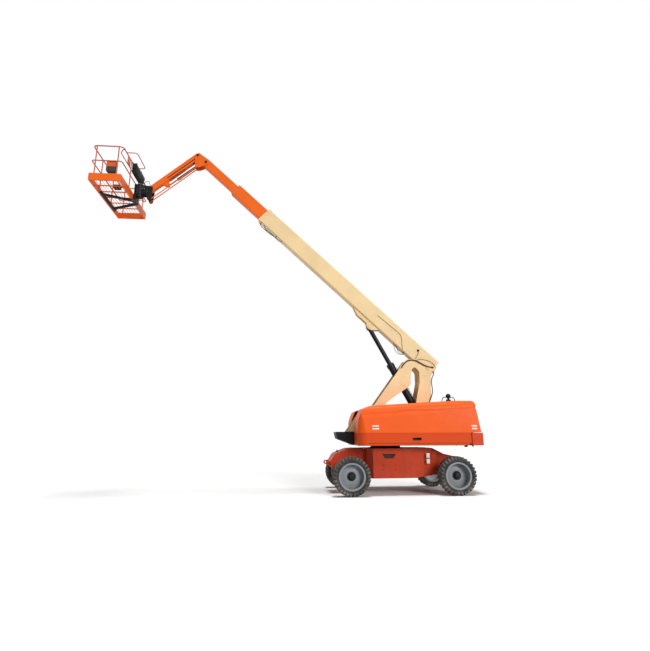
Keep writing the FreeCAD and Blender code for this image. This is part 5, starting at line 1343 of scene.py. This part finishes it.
# ---- platform -----------------------------------------------------------------------------------
@dataclass
class PlatformDress:
    """Fittings of the platform: controls, post feet, clamps, tool box rim and pedal."""

    rear: float = 7349.8
    front: float = 8204.8
    floor: float = 8288.8
    half: float = 1145.0
    top_rail: float = 1033.0
    console_rise: float = 998.0

    def build(self) -> None:
        """Makes every fitting of the platform."""
        self.console()
        self.sticks()
        self.clamps()
        self.box_rim()
        self.pedal()

    def console(self) -> None:
        """Face panel, side caps and plugs of the control box, and a grey strip on its rear face that is a
        painted highlight.
        """
        x, z = self.rear + 3.7, self.floor + self.console_rise
        # Grey strip on the control box's rear face: painted highlight.
        band = plate("console_band", [lay(x - 135.5, y, h) for y, h in
                                      ((-330, z - 96), (380, z - 96), (380, z - 74), (-330, z - 74))],
                     lay_way(-5, 0, 0), 0.001)
        fit(band, "platform", CONSOLE_GREY)
        near, far = (x - 112, z + 1), (x - 30, z - 11)
        panel = plate("console_panel", [lay(a, y, h) for y, (a, h) in
                                        ((-320, near), (370, near), (370, far), (-320, far))],
                      lay_way(0, 0, 3), 0.001)
        fit(panel, "platform", CONSOLE_GREY)
        for (name, side), y in zip(HANDS, (400.0, -350.0)):
            cap = plate(f"console_cap_{name}", wall(y, ((-96, -238), (-128, -78), (-112, -14), (-30, -24),
                                                        (-10, -66), (-10, -290), (-48, -296)), x, z),
                        lay_way(0, side * 6, 0), 0.002)
            fit(cap, "platform", BLACK_PLASTIC)
            plug = turned_profile(f"console_plug_{name}",
                                  [(0.0, 0.0), (0.0, 0.022), (0.020, 0.022), (0.024, 0.017), (0.050, 0.016),
                                   (0.054, 0.010), (0.054, 0.0)], lay(x - 70, y + side * 5, z - 180),
                                  leftward(side), 24)
            fit(plug, "platform", BLACK_PLASTIC)

    def sticks(self) -> None:
        """Joysticks, switches and the stop button on the control box."""
        x, z = self.rear - 67.0, self.floor + self.console_rise
        for name, y in (("left", 250.0), ("right", -190.0)):
            profile = [(-0.004, 0.0), (-0.004, 0.036), (0.004, 0.034), (0.016, 0.022), (0.026, 0.012),
                       (0.052, 0.009), (0.058, 0.016), (0.076, 0.019), (0.088, 0.013), (0.092, 0.0)]
            stick = turned_profile(f"joystick_{name}", profile, lay(x, y, z - 1), UP, 28)
            fit(stick, "platform", BLACK_PLASTIC)
        stop = turned_profile("stop_button", [(-0.004, 0.0), (-0.004, 0.022), (0.006, 0.021), (0.008, 0.012),
                                              (0.016, 0.012), (0.018, 0.020), (0.026, 0.019), (0.030, 0.010),
                                              (0.031, 0.0)], lay(x, 60, z - 1), UP, 28)
        fit(stop, "platform", STOP_RED)
        knobs = []
        for i, y in enumerate((-80, -40, 0, 120, 160)):
            knobs.append(turned_profile(f"switch_{i}",
                                        [(-0.003, 0.0), (-0.003, 0.011), (0.004, 0.010), (0.005, 0.004),
                                         (0.020, 0.005), (0.022, 0.0)], lay(x + 14, y, z - 2),
                                        Vector((0.1, 0, 1)), 16))
        fit(joined("console_switches", knobs), "platform", ZINC_STEEL, slot="plastic_black")

    def clamps(self) -> None:
        """Post feet, the sleeves that clamp the control box, a placard and lanyard rings."""
        inset, post = 21.0, 110.0
        x0, x1, y = self.rear + inset, self.front - inset, self.half - inset
        near = y / 2.6
        spots = [(x0 + post, y), (x1 - post, y), (x0 + post, -y), (x1 - post, -y), (x1, -near), (x1, near),
                 (x0, -near), (x0, near)]
        feet = []
        for i, (x, side_y) in enumerate(spots):
            feet.append(turned_profile(f"foot_{i}",
                                       [(0.0, 0.0165), (0.0, 0.0195), (0.050, 0.0195), (0.056, 0.0185),
                                        (0.056, 0.0165), (0.0, 0.0165)], lay(x, side_y, self.floor + 2), UP,
                                       24))
        fit(joined("post_feet", feet), "platform", RAIL_PAINT)
        rail = self.floor + self.top_rail
        sleeves = []
        for i, at in enumerate((-300.0, 330.0)):
            sleeves.append(turned_profile(f"sleeve_{i}", [(-0.022, 0.0175), (-0.022, 0.0225), (0.022, 0.0225),
                                                          (0.022, 0.0175), (-0.022, 0.0175)],
                                          lay(x0, at, rail), LEFT, 24))
        fit(joined("console_sleeves", sleeves), "platform", BLACK_PAINT)
        board = block("rail_placard", lay(self.rear + 2, 560, self.floor + 760),
                      lay(self.rear + 6, 790, self.floor + 1000), 0.002)
        fit(board, "platform", PLACARD)
        hooks = []
        for i, at in enumerate((-700.0, 700.0)):
            points = wall(at, ((-17, -6), (-50, -10), (-60, -50), (-30, -62), (-16, -10)), x1, rail)
            hooks.append(tube(f"hook_{i}", points, 0.006))
        fit(joined("lanyard_rings", hooks), "platform", ZINC_STEEL)

    def box_rim(self) -> None:
        """Rolled rim and dark band of the tool box."""
        (x0, y0, base), (x1, y1, z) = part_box("tool_box")
        path = ((x0 + 0.1, y0), (x1, y0), (x1, y0 + 0.03), (x1, y1 - 0.004), (x0, y1 - 0.004), (x0, y0),
                (x0 + 0.1, y0))
        points = [Vector((x, y, z - 0.004)) for x, y in path]
        fit(tube("tool_box_rim", points, 0.0045), "platform", TOOL_BOX_PLASTIC)
        band = block("tool_box_band", (x0 - 0.003, y0 - 0.003, base + 0.118), (x1 + 0.003, y1, base + 0.132),
                     0.002)
        fit(band, "platform", BLACK_PLASTIC)

    def pedal(self) -> None:
        """Foot pedal under its bent guard, standing on the floor grille behind the control box."""
        x, y, z = self.rear + 260.0, 620.0, self.floor
        base = block("pedal_base", lay(x - 90, y - 60, z + 0.5), lay(x + 90, y + 60, z + 22), 0.004)
        tread = plate("pedal_tread", wall(y - 50, ((-80, 24), (60, 60), (66, 52), (-76, 16)), x, z),
                      lay_way(0, 100, 0), 0.002)
        hood = [block(f"cheek_{i}", lay(x - 90, y + s, z + 18), lay(x + 90, y + s + 4, z + 110), 0.0015)
                for i, s in enumerate((-64, 60))]
        roof = block("cheek_roof", lay(x - 60, y - 64, z + 106), lay(x + 90, y + 64, z + 110), 0.0015)
        fit(joined("foot_pedal", [base, tread, roof] + hood), "platform", BLACK_PAINT)


# ---- studio -------------------------------------------------------------------------------------
@dataclass
class Studio:
    """Floor, light and camera, whose focal length is in the unit of the view's width."""

    camera_at: Point = (2.665, 12.674, 1.423)
    yaw: float = 4.62
    pitch: float = 13.76
    roll: float = -0.21
    focal: float = 453.456
    view_width: float = 650.0
    film_width: float = 36.0
    top_strength: float = 2.3
    front_strength: float = 1.85
    sky: float = 0.22
    floor_size: float = 400.0

    def build(self) -> None:
        """Makes the floor, the lamps, the world and the camera."""
        self.floor()
        self.world()
        self.lamps()
        self.camera()

    def floor(self) -> None:
        """A wide plain floor, white to the camera outside the machine's shadow."""
        deselect()
        bpy.ops.mesh.primitive_plane_add(size=self.floor_size, location=(SLEW_X + 2.0, 0.0, 0.0))
        piece = settle("floor")
        material = bpy.data.materials.new("studio_floor")
        material.use_nodes = True
        nodes = Nodes(material.node_tree)
        shader = material.node_tree.nodes["Principled BSDF"]
        shader.inputs["Roughness"].default_value = 0.9
        seen = nodes.add("ShaderNodeLightPath").outputs["Is Camera Ray"]
        tone = nodes.mix(nodes.ramp(nodes.noise(0.8), 0.2, 0.8), (0.90, 0.90, 0.90, 1.0),
                         (0.92, 0.92, 0.92, 1.0))
        nodes.link(nodes.mix(seen, (0.55, 0.55, 0.55, 1.0), tone), shader.inputs["Base Color"])
        piece.data.materials.append(material)

    def world(self) -> None:
        """Soft even sky, white to the camera."""
        world = bpy.data.worlds.new("studio_sky")
        bpy.context.scene.world = world
        world.use_nodes = True
        tree = world.node_tree
        nodes = Nodes(tree)
        back = tree.nodes["Background"]
        ray = nodes.add("ShaderNodeLightPath")
        share = nodes.maths("MAXIMUM", ray.outputs["Is Camera Ray"], ray.outputs["Is Glossy Ray"])
        back.inputs["Color"].default_value = (1.0, 1.0, 1.0, 1.0)
        level = nodes.add("ShaderNodeMapRange")
        nodes.link(share, level.inputs["Value"])
        level.inputs["To Min"].default_value = self.sky
        level.inputs["To Max"].default_value = 1.0
        nodes.link(level.outputs[0], back.inputs["Strength"])

    def lamps(self) -> None:
        """A broad sun from above, which draws the shadow, and a softer one from the machine's left."""
        for name, strength, turn, lean, spread_deg in (("overhead", self.top_strength, 15.0, 3.0, 14.0),
                                                       ("front", self.front_strength, 28.0, 70.0, 25.0)):
            lamp = bpy.data.lights.new(name, "SUN")
            lamp.energy = strength
            lamp.angle = math.radians(spread_deg)
            holder = bpy.data.objects.new(name, lamp)
            bpy.context.scene.collection.objects.link(holder)
            holder.rotation_euler = (math.radians(-lean), 0.0, math.radians(turn))

    def camera(self) -> None:
        """Camera at the viewing angle, looking up at the boom from the machine's left."""
        lens = bpy.data.cameras.new("camera")
        lens.sensor_fit = "HORIZONTAL"
        lens.sensor_width = self.film_width
        lens.lens = self.focal / self.view_width * self.film_width
        lens.clip_end = 500.0
        holder = bpy.data.objects.new("camera", lens)
        bpy.context.scene.collection.objects.link(holder)
        x, y, z = self.camera_at
        holder.location = (x + SLEW_X, y, z)
        yaw, pitch = math.radians(self.yaw), math.radians(self.pitch)
        look = Vector((-math.sin(yaw) * math.cos(pitch), -math.cos(yaw) * math.cos(pitch), math.sin(pitch)))
        holder.rotation_euler = look.to_track_quat("-Z", "Y").to_euler()
        holder.rotation_euler.rotate_axis("Z", math.radians(self.roll))
        bpy.context.scene.camera = holder


def dress_frame() -> None:
    """Gives every frame node its finish."""
    for name, node in frame["nodes"].items():
        paint(node, finish_of(name))
        LOG.info("frame node %s has %s", name, finish_of(name).name)


def main() -> None:
    """Builds everything in order."""
    logging.basicConfig(level=logging.INFO)
    bpy.context.scene.view_settings.view_transform = "Standard"
    for build in (build_wear_group, build_grime_group, build_peel_group):
        build()
    Studio().build()
    for run in HOSE_RUNS:
        run.build()
    dress_frame()
    for row in ("front", "rear"):
        for hand, side in HANDS:
            Wheel(row, hand, side).build()
    ChassisDress().build()
    TurntableDress().build()
    for hand, side in HANDS:
        HoodDress(hand, side).build()
    BoomDress().build()
    JibDress().build()
    PlatformDress().build()


if __name__ == "__main__":
    main()
